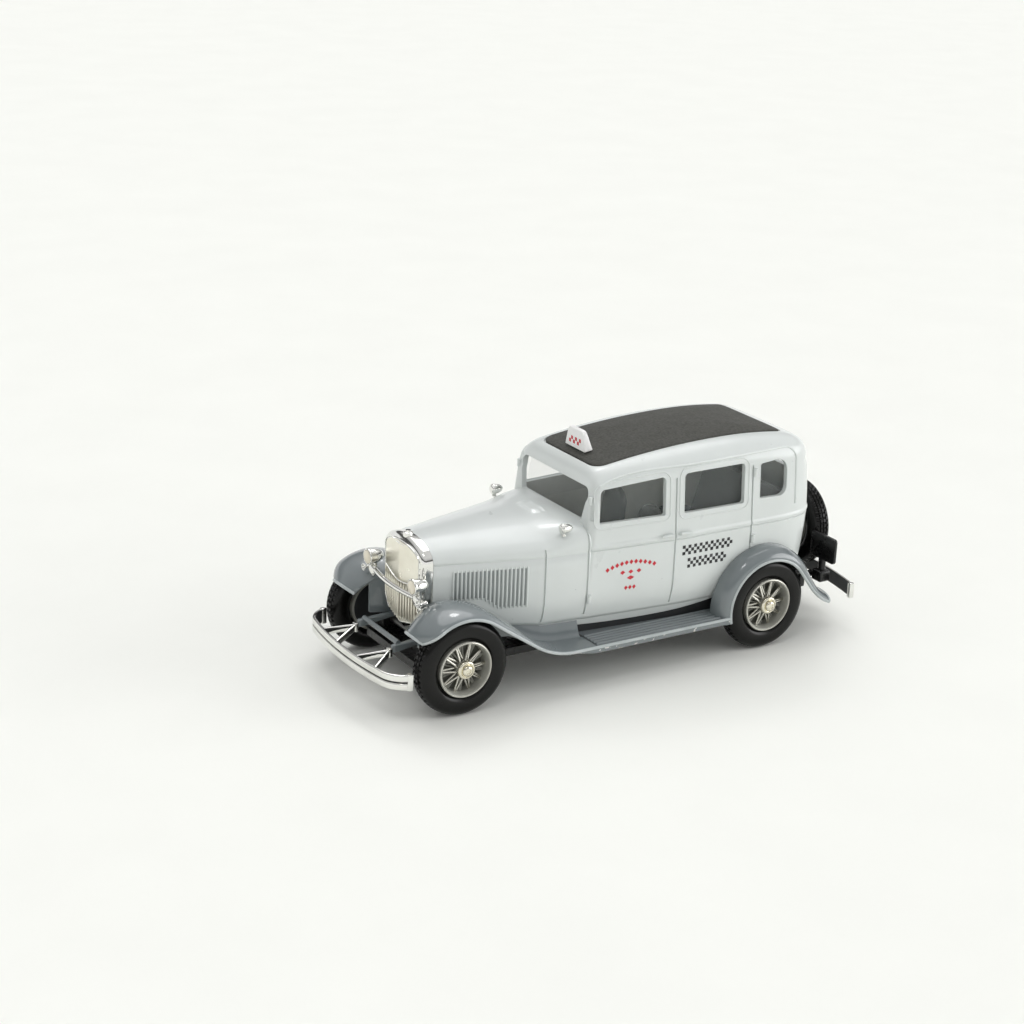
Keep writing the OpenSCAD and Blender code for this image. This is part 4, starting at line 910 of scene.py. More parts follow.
def split_lining(mesh):
    """Takes the faces inside the walls off a mesh and returns them as a part of their own."""
    work = bmesh.new()
    work.from_mesh(mesh)
    inside = [face for face in work.faces
              if min(skin.nearest(face.calc_center_median())[1] for skin in (CABIN, HOOD)) > 0.8 * WALL]
    places = {}
    faces = [tuple(places.setdefault(v, len(places)) for v in face.verts) for face in inside]
    points = [tuple(v.co) for v in places]
    bmesh.ops.delete(work, geom=inside, context="FACES")
    work.to_mesh(mesh)
    work.free()
    return points, faces


def body_shell():
    body = raw_object("body_shell_skin", cabin_form(recess=PANEL_RECESS))
    combine(body, hood_form(), "UNION")
    combine(body, cabin_form(inset=WALL, foot=1), "DIFFERENCE")
    combine(body, hood_form(inset=WALL, front_wall=WALL, foot=1), "DIFFERENCE")
    for cut in window_cuts() + wheel_room_cuts():
        combine(body, cut, "DIFFERENCE")
    for groove in GROOVES:
        cut = groove_cut(*groove)
        combine(body, cut, "DIFFERENCE")
        combine(body, mirrored(cut), "DIFFERENCE")
    lining = split_lining(body.data)
    mesh = body.data
    mesh.polygons.foreach_set("use_smooth", [True] * len(mesh.polygons))
    smooth_as(mesh, (CABIN, HOOD))
    mesh.transform(TO_FRAME)
    mesh.materials.clear()
    mesh.materials.append(BODY_PAINT)
    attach(body, "chassis")
    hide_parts("body_shell")
    piece("body_lining", lining, LINING)


body_shell()


# Trim on the body
FRAME_R = 0.13
FRAME_SINK = 0.08
SURROUND_R = 0.14
SURROUND_OUT = 0.85


def side_line(points, lift=0.0):
    """Line over the left side through [x, z] points."""
    return [on_side(x, z, lift)[0] for x, z in points]


def window_trim():
    """Frames in the side windows, and raised surrounds on the doors."""
    parts = [tube(side_line(hull_outline(circles, 32), -FRAME_SINK), FRAME_R, 8, closed=True)
             for circles in SIDE_WINDOWS]
    for circles in (FRONT_WINDOW, REAR_WINDOW):
        outline = hull_outline([(x, z, r + SURROUND_OUT) for x, z, r in circles], 32)
        parts.append(tube(side_line(outline), SURROUND_R, 8, closed=True))
    return both_sides(*parts)


# Drip moulding over the doors, down behind the quarter window
DRIP_FRONT_X = DOOR_FRONT_X - 2.2
DRIP_FRONT_Z = 34.1
DRIP_TOP_Z = 36.2
DRIP_SHOULDER_Z = DRIP_TOP_Z - 0.3
DRIP_REAR_X = -38.5
DRIP_R = 2.6
DRIP_END_Z = 25.6
DRIP_BEAD_R = 0.22


def drip_moulding():
    shares = steps(0, 1, 24)
    bend_x = DRIP_REAR_X + DRIP_R
    bend_z = DRIP_TOP_Z - DRIP_R
    rise = [(mix(DRIP_FRONT_X, DOOR_MIDDLE_X, t), mix(DRIP_FRONT_Z, DRIP_SHOULDER_Z, 1 - (1 - t) ** 3))
            for t in shares]
    top = [(mix(DOOR_MIDDLE_X, bend_x, t), mix(DRIP_SHOULDER_Z, DRIP_TOP_Z, eased(t))) for t in shares[1:]]
    bend = arc((bend_x, bend_z), DRIP_R, 90, 180)[1:]
    down = [(DRIP_REAR_X, z) for z in steps(bend_z, DRIP_END_Z, 12)[1:]]
    return both_sides(tube(side_line(rise + top + bend + down), DRIP_BEAD_R, 8))


# Hinges and handles of the doors
HINGE_HALF = 0.75
HINGE_EDGE = 0.68
HINGE_R = 0.4
HINGE_END_R = 0.28
HINGE_LIFT = 0.12
HINGE_BACK = 0.45
HINGE_PLACES = ((DOOR_FRONT_X - HINGE_BACK, SILL_Z + 4), (DOOR_FRONT_X - 2 * HINGE_BACK, COWL_TOP_Z + 3.7),
                (DOOR_REAR_X - HINGE_BACK, SILL_Z + 10.3), (DOOR_REAR_X - HINGE_BACK, WALL_TOP_Z - 1.6))
HANDLE_Z = BELT_Z + 0.95
HANDLE_ROOT = 0.9
HANDLE_TIP = 3.1
HANDLE_OUT = 0.5
HANDLE_SIDES = 14


def hinge(x, z):
    place = on_side(x, z, HINGE_LIFT)[0]
    barrel = [place + Vector((0, 0, dz)) for dz in (-HINGE_HALF, -HINGE_EDGE, HINGE_EDGE, HINGE_HALF)]
    return tube(barrel, [HINGE_END_R, HINGE_R, HINGE_R, HINGE_END_R], 14)


def door_handle(way):
    """Handle whose lever points forward (1) or back (-1) from the middle door seam."""
    root, normal = on_side(DOOR_MIDDLE_X + way * HANDLE_ROOT, HANDLE_Z)
    knee = root + normal * HANDLE_OUT
    stem = tube([root, root + normal * 0.3, knee], [0.34, 0.3, 0.26], HANDLE_SIDES)
    tip = on_side(DOOR_MIDDLE_X + way * HANDLE_TIP, HANDLE_Z - 0.08, HANDLE_OUT)[0]
    places = (-0.1, -0.04, 0.3, 0.7, 0.95, 1)
    lever = tube([mix(knee, tip, t) for t in places], [0.14, 0.28, 0.3, 0.26, 0.22, 0.1], HANDLE_SIDES)
    return joined(stem, lever)


def door_fittings():
    return both_sides(*[hinge(x, z) for x, z in HINGE_PLACES], door_handle(1), door_handle(-1))


# Louvers on the hood's sides, with sheets of painted shade in the gaps between them
LOUVER_TOP_Z = BELT_Z - 1.1
LOUVER_REAR_X = COWL_X + 2.8
LOUVER_REAR_LOW_Z = 14.4
LOUVER_FRONT_LOW_Z = 16.4
LOUVER_W = 0.36
LOUVER_LIFT = 0.06
LOUVER_SHARES = [i / (LOUVER_COUNT - 1) for i in range(LOUVER_COUNT)]
LOUVER_PITCH = LOUVER_ROW / (LOUVER_COUNT - 1)
LOUVER_GAP = (-0.16, 0, 0.16)
SHEET_LIFT = 0.015


def louver_x(t):
    """Place of a louver; t runs from the rear one to the front one."""
    return LOUVER_REAR_X + LOUVER_W / 2 + t * LOUVER_ROW


def louver_low(t):
    """Lower end of a louver: the front ones end higher, over the fender."""
    return mix(LOUVER_REAR_LOW_Z, LOUVER_FRONT_LOW_Z, eased((t - 0.35) / 0.3))


def louver(t):
    low = louver_low(t)
    heights = [low, low + 0.25] + steps(low + 0.6, LOUVER_TOP_Z - 0.6, 4)
    heights += [LOUVER_TOP_Z - 0.25, LOUVER_TOP_Z]
    sizes = [0.05, 0.15] + [LOUVER_W / 2] * 5 + [0.15, 0.05]
    return tube([on_side(louver_x(t), z, LOUVER_LIFT)[0] for z in heights], sizes, 12)


# Sheet of painted shade on the skin between two louvers
def louver_gap_shade(t):
    x = louver_x(t) - LOUVER_PITCH / 2
    heights = steps(louver_low(t) + 0.3, LOUVER_TOP_Z - 0.35, 6)
    rows = [[on_side(x + dx, z, SHEET_LIFT)[0] for dx in LOUVER_GAP] for z in heights]
    return grid(rows, wrap_columns=False)


piece("window_trim", window_trim(), BODY_PAINT)
piece("drip_moulding", drip_moulding(), BODY_PAINT)
piece("door_fittings", door_fittings(), BODY_PAINT)
piece("hood_louvers", both_sides(*[louver(t) for t in LOUVER_SHARES]), BODY_PAINT)
# Painted shade between the louvers
piece("louver_gap_shades", both_sides(*[louver_gap_shade(t) for t in LOUVER_SHARES[1:]]), PAINTED_LOUVER_SHADE)

# Roof panel, with a rounded edge
PANEL_FOOT = 0.05 - PANEL_RECESS
PANEL_SIDE = 0.985
PANEL_EDGE = ((PANEL_SIDE, PANEL_PROUD - 0.12), (0.98, PANEL_PROUD - 0.03), (0.972, PANEL_PROUD))


def roof_panel():
    shares = [0.04, 0.2, 0.4, 0.6, 0.8, 0.94]
    rings = [panel_ring(k, 0, PANEL_FOOT) for k in shares + [PANEL_SIDE]]
    rings += [panel_ring(k, 0, lift) for k, lift in PANEL_EDGE]
    rings += [panel_ring(k, 0, PANEL_PROUD) for k in reversed(shares)]
    return loft(rings)


piece("roof_panel", roof_panel(), ROOF_FABRIC, replaces=("roof_insert",))

# Roof sign: narrower, thinner and rounder towards its top
SIGN_X = PANEL_FRONT_X - 2.4
SIGN_W = 6.2
SIGN_H = 3.5
SIGN_T = 1.7
SIGN_TOP_SHARE = 0.38
SIGN_TAPER = 0.55
SIGN_FOOT_R = 0.2
SIGN_TOP_R = 0.8
SIGN_BACK = 0.05
SIGN_SLOPE = math.atan(2 * ROOF_FRONT_DROP * (SIGN_X - ROOF_PEAK_X) / (PANEL_FRONT_X - ROOF_PEAK_X) ** 2)
SIGN_FOOT_Z = ROOF_EDGE_Z - roof_drop(SIGN_X) + ROOF_CROWN * 0.36 + PANEL_PROUD + 0.05
SIGN_PLACE = shift(SIGN_X, 0, SIGN_FOOT_Z) @ turned(SIGN_SLOPE, "Y")
SIGN_EDGE = ((-0.5, 0.18), (-0.46, 0.07), (-0.38, 0), (0.38, 0), (0.46, 0.07), (0.5, 0.18))
SIGN_MARK = 0.62
SIGN_MARK_LOW = 0.8
SIGN_MARK_LIFT = 0.02
SIGN_COLUMNS = 6


def sign_outline(inset):
    top = SIGN_W * SIGN_TOP_SHARE - SIGN_TOP_R
    circles = [(side * (SIGN_W / 2 - SIGN_FOOT_R), SIGN_FOOT_R, SIGN_FOOT_R - inset * 0.5)
               for side in (-1, 1)]
    circles += [(side * top, SIGN_H - SIGN_TOP_R, SIGN_TOP_R - inset) for side in (-1, 1)]
    return hull_outline(circles, 40)


def sign_thickness(z):
    return mix(SIGN_T, SIGN_T * SIGN_TAPER, limited(z / SIGN_H))


def sign_form():
    rows = []
    for share, inset in SIGN_EDGE:
        rows.append([(share * sign_thickness(z) - SIGN_BACK, y, z) for y, z in sign_outline(inset)])
    return moved(loft(rows), SIGN_PLACE)


def board_corners(a, b, size):
    """Corners of a square from its first corner."""
    return [(a, b), (a + size, b), (a + size, b + abs(size)), (a, b + abs(size))]


def sign_mark(way):
    """Two rows of small squares on the front (1) or the back (-1), set as a draughtboard."""
    squares = []
    for row in (0, 1):
        for column in range(row, SIGN_COLUMNS, 2):
            first_y = (column - SIGN_COLUMNS / 2) * SIGN_MARK
            corners = board_corners(first_y, SIGN_MARK_LOW + row * SIGN_MARK, SIGN_MARK)
            face = [(way * (sign_thickness(z) / 2 + SIGN_MARK_LIFT) - SIGN_BACK, y, z) for y, z in corners]
            squares.append((face, [(0, 1, 2, 3) if way > 0 else (3, 2, 1, 0)]))
    return moved(joined(*squares), SIGN_PLACE)


piece("roof_sign_block", sign_form(), SIGN_WHITE, replaces=("roof_sign",))
piece("roof_sign_marks", joined(sign_mark(1), sign_mark(-1)), RED_INK)

# Glazing behind the windows
GLASS_OUT = WALL + 0.05
GLASS_IN = WALL + 0.45


def glazing():
    levels = [(z, 0) for z in steps(BELT_Z + 1.2, WALL_TOP_Z, 12)] + ROOF_LEVELS[:3]
    outer = [cabin_ring(z, m, GLASS_OUT) for z, m in levels]
    inner = [cabin_ring(z, m, GLASS_IN) for z, m in reversed(levels)]
    return grid(outer + inner, wrap_rows=True)


piece("glazing", glazing(), GLASS, replaces=("window_glazing",))

# Smaller helpers for the pieces below
AHEAD = Matrix(((0, 0, 1, 0), (1, 0, 0, 0), (0, 1, 0, 0), (0, 0, 0, 1)))


def ahead(part, *place):
    """Part made about Z, turned to point along +X from a place."""
    return moved(part, shift(*place) @ AHEAD)


def oval(x, y, z, half_y, half_z, shape=0.5):
    """Ring square to X: a rectangle with soft corners."""
    return [(x, y + half_y * soft(cos(a), shape), z + half_z * soft(sin(a), shape)) for a in rounds(24)]


def slab(outline, low, high, axis, edge=0.15):
    """Convex outline drawn out along an axis, with its rims rounded off."""
    centre = [sum(p[i] for p in outline) / len(outline) for i in (0, 1)]
    reach = max(math.dist(p, centre) for p in outline)

    def ring(along, inset):
        share = 1 - inset / reach
        scaled = [[mix(c, v, share) for c, v in zip(centre, p)] for p in outline]
        for point in scaled:
            point.insert(axis, along)
        return [tuple(point) for point in scaled]
    return loft([ring(low, edge), ring(low + edge * 0.3, edge * 0.3), ring(low + edge, 0),
                 ring(high - edge, 0), ring(high - edge * 0.3, edge * 0.3), ring(high, edge)])


# Fenders and running boards: swept like the solids, in finer steps and with a rolled lip
SWEEP = 34
SWEEP_R = 14.0
FRONT_TIP = 36
TIP_R = 2.4
TIP_POWER = 2.2
TIP_SPREAD = 2.7
TIP_SPREAD_LEN = 7.5
TIP_SPREAD_POWER = 1.3
TAIL_TURN = 52
TAIL_FLAT = 24
TAIL_RUN = 4.2
TAIL_R = 14.0
TAIL_FADE_LEN = 9
TAIL_LIP_IN = 1.2
TAIL_SEAT_IN = 1.8
ARCH_STEPS = 72
TIP_STEPS = 18
INNER_FALL = 1.7
CROWN_AT = 0.5
APRON_T = 0.6
APRON_STEPS = 28
BEAD_R = 0.28
BEAD_DROP = 0.1
BEAD_IN = 0.1
FOOT_TURN = math.degrees(math.asin((BOARD_Z - EDGE_DROP - TYRE_R) / REAR_LIP_R))
BOARD_REAR_X = REAR_AXLE_X + REAR_LIP_R * cosine(FOOT_TURN)
BOARD_END_X = REAR_AXLE_X + math.sqrt(REAR_LIP_R ** 2 - (BOARD_Z - TYRE_R) ** 2)
FRONT_ARCH = arc((FRONT_AXLE_X, TYRE_R), FRONT_LIP_R, FRONT_TIP, 90 + SWEEP, ARCH_STEPS)
REAR_ARCH = arc((REAR_AXLE_X, TYRE_R), REAR_LIP_R, FOOT_TURN, 90 + TAIL_TURN, ARCH_STEPS)
SWEEP_FROM = FRONT_ARCH[-1]
SWEEP_RUN = (SWEEP_FROM[1] - BOARD_Z - SWEEP_R * (1 - cosine(SWEEP))) / sine(SWEEP)
SWEEP_TO = (SWEEP_FROM[0] - SWEEP_RUN * cosine(SWEEP), SWEEP_FROM[1] - SWEEP_RUN * sine(SWEEP))
BOARD_FRONT_X = SWEEP_TO[0] - SWEEP_R * sine(SWEEP)
TAIL_FROM = REAR_ARCH[-1]
TAIL_BEND = (TAIL_FROM[0] - TAIL_RUN * cosine(TAIL_TURN), TAIL_FROM[1] - TAIL_RUN * sine(TAIL_TURN))
FRONT_PATH = FRONT_ARCH + line(SWEEP_FROM, SWEEP_TO)[1:-1]
FRONT_PATH += arc((BOARD_FRONT_X, BOARD_Z + SWEEP_R), SWEEP_R, 270 + SWEEP, 270, 30)
FRONT_PATH += line((BOARD_FRONT_X, BOARD_Z), (BOARD_END_X, BOARD_Z), 16)[1:]
REAR_PATH = REAR_ARCH + line(TAIL_FROM, TAIL_BEND)[1:-1]
REAR_PATH += [(TAIL_BEND[0] - TAIL_R * (sine(TAIL_TURN) - sine(a)),
               TAIL_BEND[1] - TAIL_R * (cosine(a) - cosine(TAIL_TURN)))
              for a in steps(TAIL_TURN, TAIL_FLAT, 16)]
ACROSS = [sin(a) for a in quarter(26)]


def away(path, i):
    """Direction square to a path at its point i, away from the wheel."""
    a = path[max(i - 1, 0)]
    b = path[min(i + 1, len(path) - 1)]
    length = math.dist(a, b)
    return (b[1] - a[1]) / length, -(b[0] - a[0]) / length


def fender_line(path, i, inner_y, outer_y, rise, drop):
    """Line over a fender from its inner edge to its lip, drop under its outer skin."""
    x, z = path[i]
    nx, nz = away(path, i)
    return [(x + nx * (rise(v) - drop), mix(inner_y, outer_y, v), z + nz * (rise(v) - drop))
            for v in ACROSS]


def front_inner_y(x):
    seat = min(belt_half(min(x, NOSE_X)) + SEAT_GAP, BOARD_IN_Y)
    return seat + TIP_SPREAD * power((x - NOSE_X) / TIP_SPREAD_LEN, TIP_SPREAD_POWER)


def front_rise(v):
    """Height of the front fender's crown, v of the way from its inner edge to its lip."""
    if v < CROWN_AT:
        return FRONT_CROWN - INNER_FALL * ((CROWN_AT - v) / CROWN_AT) ** 2
    return FRONT_CROWN * power(1 - ((v - CROWN_AT) / (1 - CROWN_AT)) ** 2.5, 0.55)


def front_fender_line(i, drop):
    x = FRONT_PATH[i][0]
    flat = eased((x - BOARD_FRONT_X) / (SWEEP_FROM[0] - BOARD_FRONT_X))
    outer_y = LIP_Y - TIP_R * power(1 - i / TIP_STEPS, TIP_POWER)
    return fender_line(FRONT_PATH, i, front_inner_y(x), outer_y, lambda v: flat * front_rise(v), drop)


def tail_inward(x):
    """How far the body's side lies inside its full width, towards the tail."""
    share = power((TAIL_X + TAIL_BEND_LEN - x) / TAIL_BEND_LEN, TAIL_SQUARENESS)
    return BODY_W / 2 * (1 - power(1 - share, 1 / TAIL_SQUARENESS))


def rear_fender_line(i, drop):
    x = REAR_PATH[i][0]
    tail = limited((TAIL_FROM[0] - x) / TAIL_FADE_LEN)
    inner_y = max(belt_half(x) - tail_inward(x), BODY_W / 2 - TAIL_SEAT_IN) + SEAT_GAP
    height = mix(1, 0.5, tail) * REAR_CROWN
    return fender_line(REAR_PATH, i, inner_y, LIP_Y - TAIL_LIP_IN * tail ** 2,
                       lambda v: height * power(1 - v ** 2.4, 0.5), drop)


def fender_skin(path, line_at):
    return loft([line_at(i, FENDER_EDGE_T) + line_at(i, 0)[::-1] for i in range(len(path))])


def rolled_lip(path, line_at, tip):
    """Bead along the lip and across the open end at path point tip."""
    lip = [line_at(i, BEAD_DROP)[-1] for i in range(len(path))]
    end = line_at(tip, BEAD_DROP)
    whole = end[:-1] + lip if tip == 0 else lip + end[-2::-1]
    return tube([(x, y - BEAD_IN, z) for x, y, z in whole], BEAD_R, 10)


def apron():
    """Upright wall from the front fender's inner edge down to the floor."""
    rings = []
    for i in range(TIP_STEPS, len(FRONT_ARCH) + APRON_STEPS):
        x, _, edge_z = front_fender_line(i, FENDER_T)[0]
        inner_y = front_inner_y(FRONT_PATH[i][0]) + 0.04
        outer_y = front_inner_y(FRONT_PATH[i][0]) + APRON_T
        low = min(FLOOR_TOP_Z - FLOOR_T + 0.11, edge_z)
        top = edge_z + 0.2
        rings.append([(x, outer_y, low), (x, outer_y, top), (x, inner_y, top), (x, inner_y, low)])
    return loft(rings)


# Under the body's sides the board runs on to a wall painted near black as shade; the body has a short skirt
# over it
SEAM_X = BOARD_FRONT_X - 4.5
SEAM_W = 0.2
SEAM_LIFT = 0.012
UNDER_REAR_X = BOARD_REAR_X + 0.13
UNDER_IN = 1.0
UNDER_Z = BOARD_Z - 0.03
UNDER_TOP_Z = SILL_Z + 0.1
UNDER_STATIONS = steps(UNDER_REAR_X, SEAM_X, 30)
EDGE_Y = LIP_Y - 0.28
EDGE_HALF = 0.25
EDGE_TOP_Z = BOARD_Z - 0.11
EDGE_FRONT_DROP = 0.4
EDGE_RUN_OUT = 5
RIB_R = 0.3
RIB_Z = BOARD_Z - 0.04
RIB_MARGIN = 0.7
SKIRT_H = 1.4
SKIRT_T = 0.4
SKIRT_BEAD = 0.12
SKIRT_SLOPE = 2 * TURN_IN / (TURN_Z - SILL_Z)


def sill_y(x):
    """Half of the body's width at its lower edge."""
    return belt_half(x) - side_in(hood_low(x))


def under_y(x):
    """Half of the width between the shaded walls."""
    return sill_y(x) - UNDER_IN


def board_edge():
    """Upright edge of the board, which runs out under the sweep ahead of the seam."""
    rings = []
    for x in [BOARD_REAR_X - 0.1] + steps(SEAM_X, BOARD_FRONT_X + 1.6, 12):
        low = BOARD_Z - mix(EDGE_DROP, EDGE_FRONT_DROP, eased((x - SEAM_X) / EDGE_RUN_OUT))
        rings.append(oval(x, EDGE_Y, (EDGE_TOP_Z + low) / 2, EDGE_HALF, (EDGE_TOP_Z - low) / 2, 0.25))
    return loft(rings)


def running_board():
    first = BOARD_IN_Y - RIB_MARGIN
    pitch = (LIP_Y - RIB_MARGIN - first) / BOARD_RIBS
    ribs = []
    for i in range(BOARD_RIBS):
        y = first + (i + 0.5) * pitch
        ribs.append(tube(line((BOARD_REAR_X + 1.2, y, RIB_Z), (SEAM_X - 0.2, y, RIB_Z), 2), RIB_R, 12))
    return joined(board_edge(), *ribs)


def board_flat():
    """Inner part of the board, under the body."""
    rows = [[(x, BOARD_IN_Y + 0.3, UNDER_Z), (x, under_y(x), UNDER_Z)] for x in UNDER_STATIONS]
    return grid(rows, wrap_columns=False)


def sweep_rise():
    """Hollow rise from the fender's inner edge to the body, where the sweep runs below the sill."""
    rows = []
    for i in range(len(FRONT_ARCH), len(FRONT_PATH)):
        x, y, z = front_fender_line(i, 0)[0]
        top_y = sill_y(x) - 0.15
        top_z = hood_low(x) + 0.1
        if z < top_z and x > SEAM_X - 1:
            rows.append([(x, mix(y + 0.1, top_y, t), mix(z, top_z, t ** 2)) for t in steps(0, 1, 10)])
    return grid(rows, wrap_columns=False)


def under_wall():
    """Wall under the body in painted shade, and the dark seam line at the front end of the board."""
    wall = [[(x, under_y(x), z) for z in (UNDER_Z, UNDER_TOP_Z)] for x in UNDER_STATIONS]
    seam = [[(SEAM_X + way * SEAM_W / 2, y, BOARD_Z + SEAM_LIFT) for way in (-1, 1)]
            for y in (under_y(SEAM_X), LIP_Y - 0.3)]
    return joined(grid(wall, wrap_columns=False), grid(seam, wrap_columns=False))


def sill_skirt():
    """Carries the body's side on below its sill, deepest under the doors."""
    rings = []
    for t in steps(-1, 1, 48):
        x = mix(UNDER_REAR_X, COWL_X, (t + 1) / 2)
        depth = 0.1 + SKIRT_H * power(1 - abs(t) ** 2.2, 0.8)
        outer_y = sill_y(x) - 0.02
        side = [(outer_y - SKIRT_SLOPE * depth * s, UNDER_TOP_Z - depth * s) for s in steps(0, 1, 6)]
        y, z = side[-1]
        edge = [(y - SKIRT_T / 2 * (1 - cos(a)), z - SKIRT_BEAD * sin(a)) for a in steps(0, pi, 8)[1:]]
        rings.append([(x, *point) for point in side + edge + [(y - SKIRT_T, UNDER_TOP_Z)]])
    return loft(rings)


# Floor under the body and the frame's horns ahead of it
FLOOR_FRONT_X = NOSE_X - 0.3
FLOOR_REAR_X = REAR_AXLE_X - 9.5
HORN_Y = 6.1
HORN_TIP_X = FRONT_AXLE_X + 7.6
HORN_Z = 9.2
HORN_ROOT = (HORN_Y, FLOOR_TOP_Z - 0.33, 0.6, 0.32)
HORN_BAR_R = 0.45


def both_edges(half):
    return half + [(x, -y) for x, y in reversed(half)]


def floor_plate():
    half = under_y(DOOR_MIDDLE_X)
    outline = both_edges([(FLOOR_FRONT_X, NOSE_W / 2 + 0.2), (COWL_X, under_y(COWL_X)),
                          (DOOR_MIDDLE_X, half), (FLOOR_REAR_X, half)])
    return prism(outline, FLOOR_TOP_Z - FLOOR_T, FLOOR_TOP_Z, 2)


def frame_horns():
    rings = [oval(FLOOR_FRONT_X - 1, *HORN_ROOT), oval(FLOOR_FRONT_X, *HORN_ROOT)]
    for back, half_y, half_z in ((0.6, 0.5, 0.72), (0.1, 0.46, 0.66), (0, 0.36, 0.52)):
        rings.append(oval(HORN_TIP_X - back, HORN_Y, HORN_Z, half_y, half_z))
    bar = tube([(HORN_TIP_X - 1.2, y, HORN_Z + 0.8) for y in steps(-HORN_Y, HORN_Y, 4)], HORN_BAR_R, 20)
    return joined(both_sides(loft(rings)), bar)


def fender_unit():
    left = joined(fender_skin(FRONT_PATH, front_fender_line), fender_skin(REAR_PATH, rear_fender_line),
                  apron(), running_board())
    return joined(both_sides(left), floor_plate(), frame_horns())


def fender_lips():
    return both_sides(rolled_lip(FRONT_PATH, front_fender_line, 0),
                      rolled_lip(REAR_PATH, rear_fender_line, len(REAR_PATH) - 1))


piece("fenders", fender_unit(), FENDER_PAINT, replaces=("fender_unit",), smooth_angle=50)
# The rolled lips carry a painted highlight in a lighter grey than the fenders
piece("fender_lips", fender_lips(), PAINTED_LIP_HIGHLIGHT)
piece("board_aprons", both_sides(board_flat(), sweep_rise()), FENDER_PAINT)
# Near black wall of painted shade under the body's sides, with the seam line
piece("sill_shade_walls", both_sides(under_wall()), PAINTED_SHADE_AND_SEAM)
piece("sill_skirts", both_sides(sill_skirt()), BODY_PAINT)

# Radiator shell: rounded rim, smooth shield above and upright bars below, with painted shade between the
# bars
SHELL_BACK_X = NOSE_X + 0.05
SHELL_D = 2.6
SHELL_LOW_Z = 9.8
SHELL_SIDE_Z = 14.0
SHELL_SIDE = 0.93
SHELL_OVER_HOOD = 0.2
SHELL_ARCH = 0.9
KNEE_DROP = 1.9
KNEE_Z = SHELL_SIDE_Z - KNEE_DROP
KNEE_SIDE = 0.74
FOOT_RISE = 1.2
FACE_FROM = 0.75
FACE_INSET = 0.7
FACE_LOW_Z = SHELL_LOW_Z + 2
FACE_TOP_Z = NOSE_TOP_Z - 1.4
SHELL_EDGE = ((0, 0), (0.4, 0), (0.47, 0.03), (0.55, 0.11), (0.62, 0.25), (0.69, 0.45),
              (FACE_FROM, FACE_INSET))
GRILLE_RIM = 1.15
GRILLE_HALF = NOSE_W / 2 - GRILLE_RIM
GRILLE_FOOT_Z = SHELL_LOW_Z + FOOT_RISE * GRILLE_RIM
GRILLE_BARS = 15
GRILLE_PITCH = (NOSE_W - 2 * GRILLE_RIM) / GRILLE_BARS
GRILLE_R = 0.2
GRILLE_END = 0.1
GRILLE_GAP = (-0.24, 0, 0.24)
SHIELD_Z = 18.5
SHIELD_CURVE = 1.1
SHIELD_SPAN = 6
SHIELD_HALF = 5.7
SHIELD_LIFT = 0.03
FILLER_X = SHELL_BACK_X + 0.38 * SHELL_D
FILLER_Z = NOSE_TOP_Z + SHELL_OVER_HOOD - 0.3
FILLER_CAP = [(0, 0), (0.85, 0), (0.85, 0.58), (0.8, 0.7), (0.68, 0.75), (0.5, 0.78), (0.5, 1),
              (0.42, 1.08), (0, 1.1)]


def shell_outline(inset):
    w = NOSE_W / 2 - inset
    round_h = NOSE_TOP_Z - BELT_Z + SHELL_OVER_HOOD - inset
    arch = [(w * soft(cos(a), SHELL_ARCH), BELT_Z + round_h * power(sin(a), SHELL_ARCH))
            for a in steps(0, pi, 64)]
    right = [(-w, BELT_Z), (-SHELL_SIDE * w, SHELL_SIDE_Z), (-KNEE_SIDE * w, KNEE_Z)]
    corners = right + [(0, SHELL_LOW_Z + FOOT_RISE * inset)] + [(-y, z) for y, z in reversed(right)]
    return arch + [p for a, b in zip(corners, corners[1:]) for p in line(a, b, 6)[1:]][:-1]


def shell_form():
    rings = [[(SHELL_BACK_X + depth * SHELL_D, y, z) for y, z in shell_outline(inset)]
             for depth, inset in SHELL_EDGE]
    for share in steps(0, 1, 6)[1:]:
        x = SHELL_BACK_X + mix(FACE_FROM, 1, share) * SHELL_D
        rings.append([(x, mix(y, 0, share), mix(z, min(max(z, FACE_LOW_Z), FACE_TOP_Z), share))
                      for y, z in shell_outline(FACE_INSET)])
    return grid(rings)


shell_front = raw_object("shell_front", shell_form())
SHELL = Skin(shell_front)


def on_shell(y, z, lift=0.0):
    place, normal = SHELL.cast((FRONT_REACH, y, z), (-1, 0, 0))
    return place + lift * normal


def grille_half(z):
    """Half of the grille's width at a height."""
    if z < KNEE_Z:
        return KNEE_SIDE * GRILLE_HALF * (z - GRILLE_FOOT_Z) / (KNEE_Z - GRILLE_FOOT_Z)
    if z < SHELL_SIDE_Z:
        return mix(KNEE_SIDE, SHELL_SIDE, (z - KNEE_Z) / KNEE_DROP) * GRILLE_HALF
    return mix(SHELL_SIDE, 1, (z - SHELL_SIDE_Z) / (BELT_Z - SHELL_SIDE_Z)) * GRILLE_HALF


def grille_low(y):
    """Height at which the grille is wide enough to begin at y."""
    return next(z for z in steps(GRILLE_FOOT_Z, SHIELD_Z, 120) if grille_half(z) >= abs(y))


def shield_z(y):
    """Lower edge of the shield."""
    return SHIELD_Z + SHIELD_CURVE * (y / SHIELD_SPAN) ** 2


def grille_places(count, margin):
    """Places across the grille, each with heights from its lower rim to the shield."""
    for i in range(count):
        y = (i - (count - 1) / 2) * GRILLE_PITCH
        yield y, steps(grille_low(abs(y) + margin) + GRILLE_END, shield_z(y) - GRILLE_END, 10)


def grille_bars():
    return [tube([on_shell(y, z, SHIELD_LIFT) for z in heights], GRILLE_R, 10)
            for y, heights in grille_places(GRILLE_BARS, 0)]


# Sheets of painted shade on the shell's face between the grille's bars
def grille_gap_shades():
    gaps = []
    for y, heights in grille_places(GRILLE_BARS - 1, GRILLE_R):
        rows = [[on_shell(y + dy, z, SHEET_LIFT) for dy in GRILLE_GAP] for z in heights]
        gaps.append(grid(rows, wrap_columns=False))
    return gaps


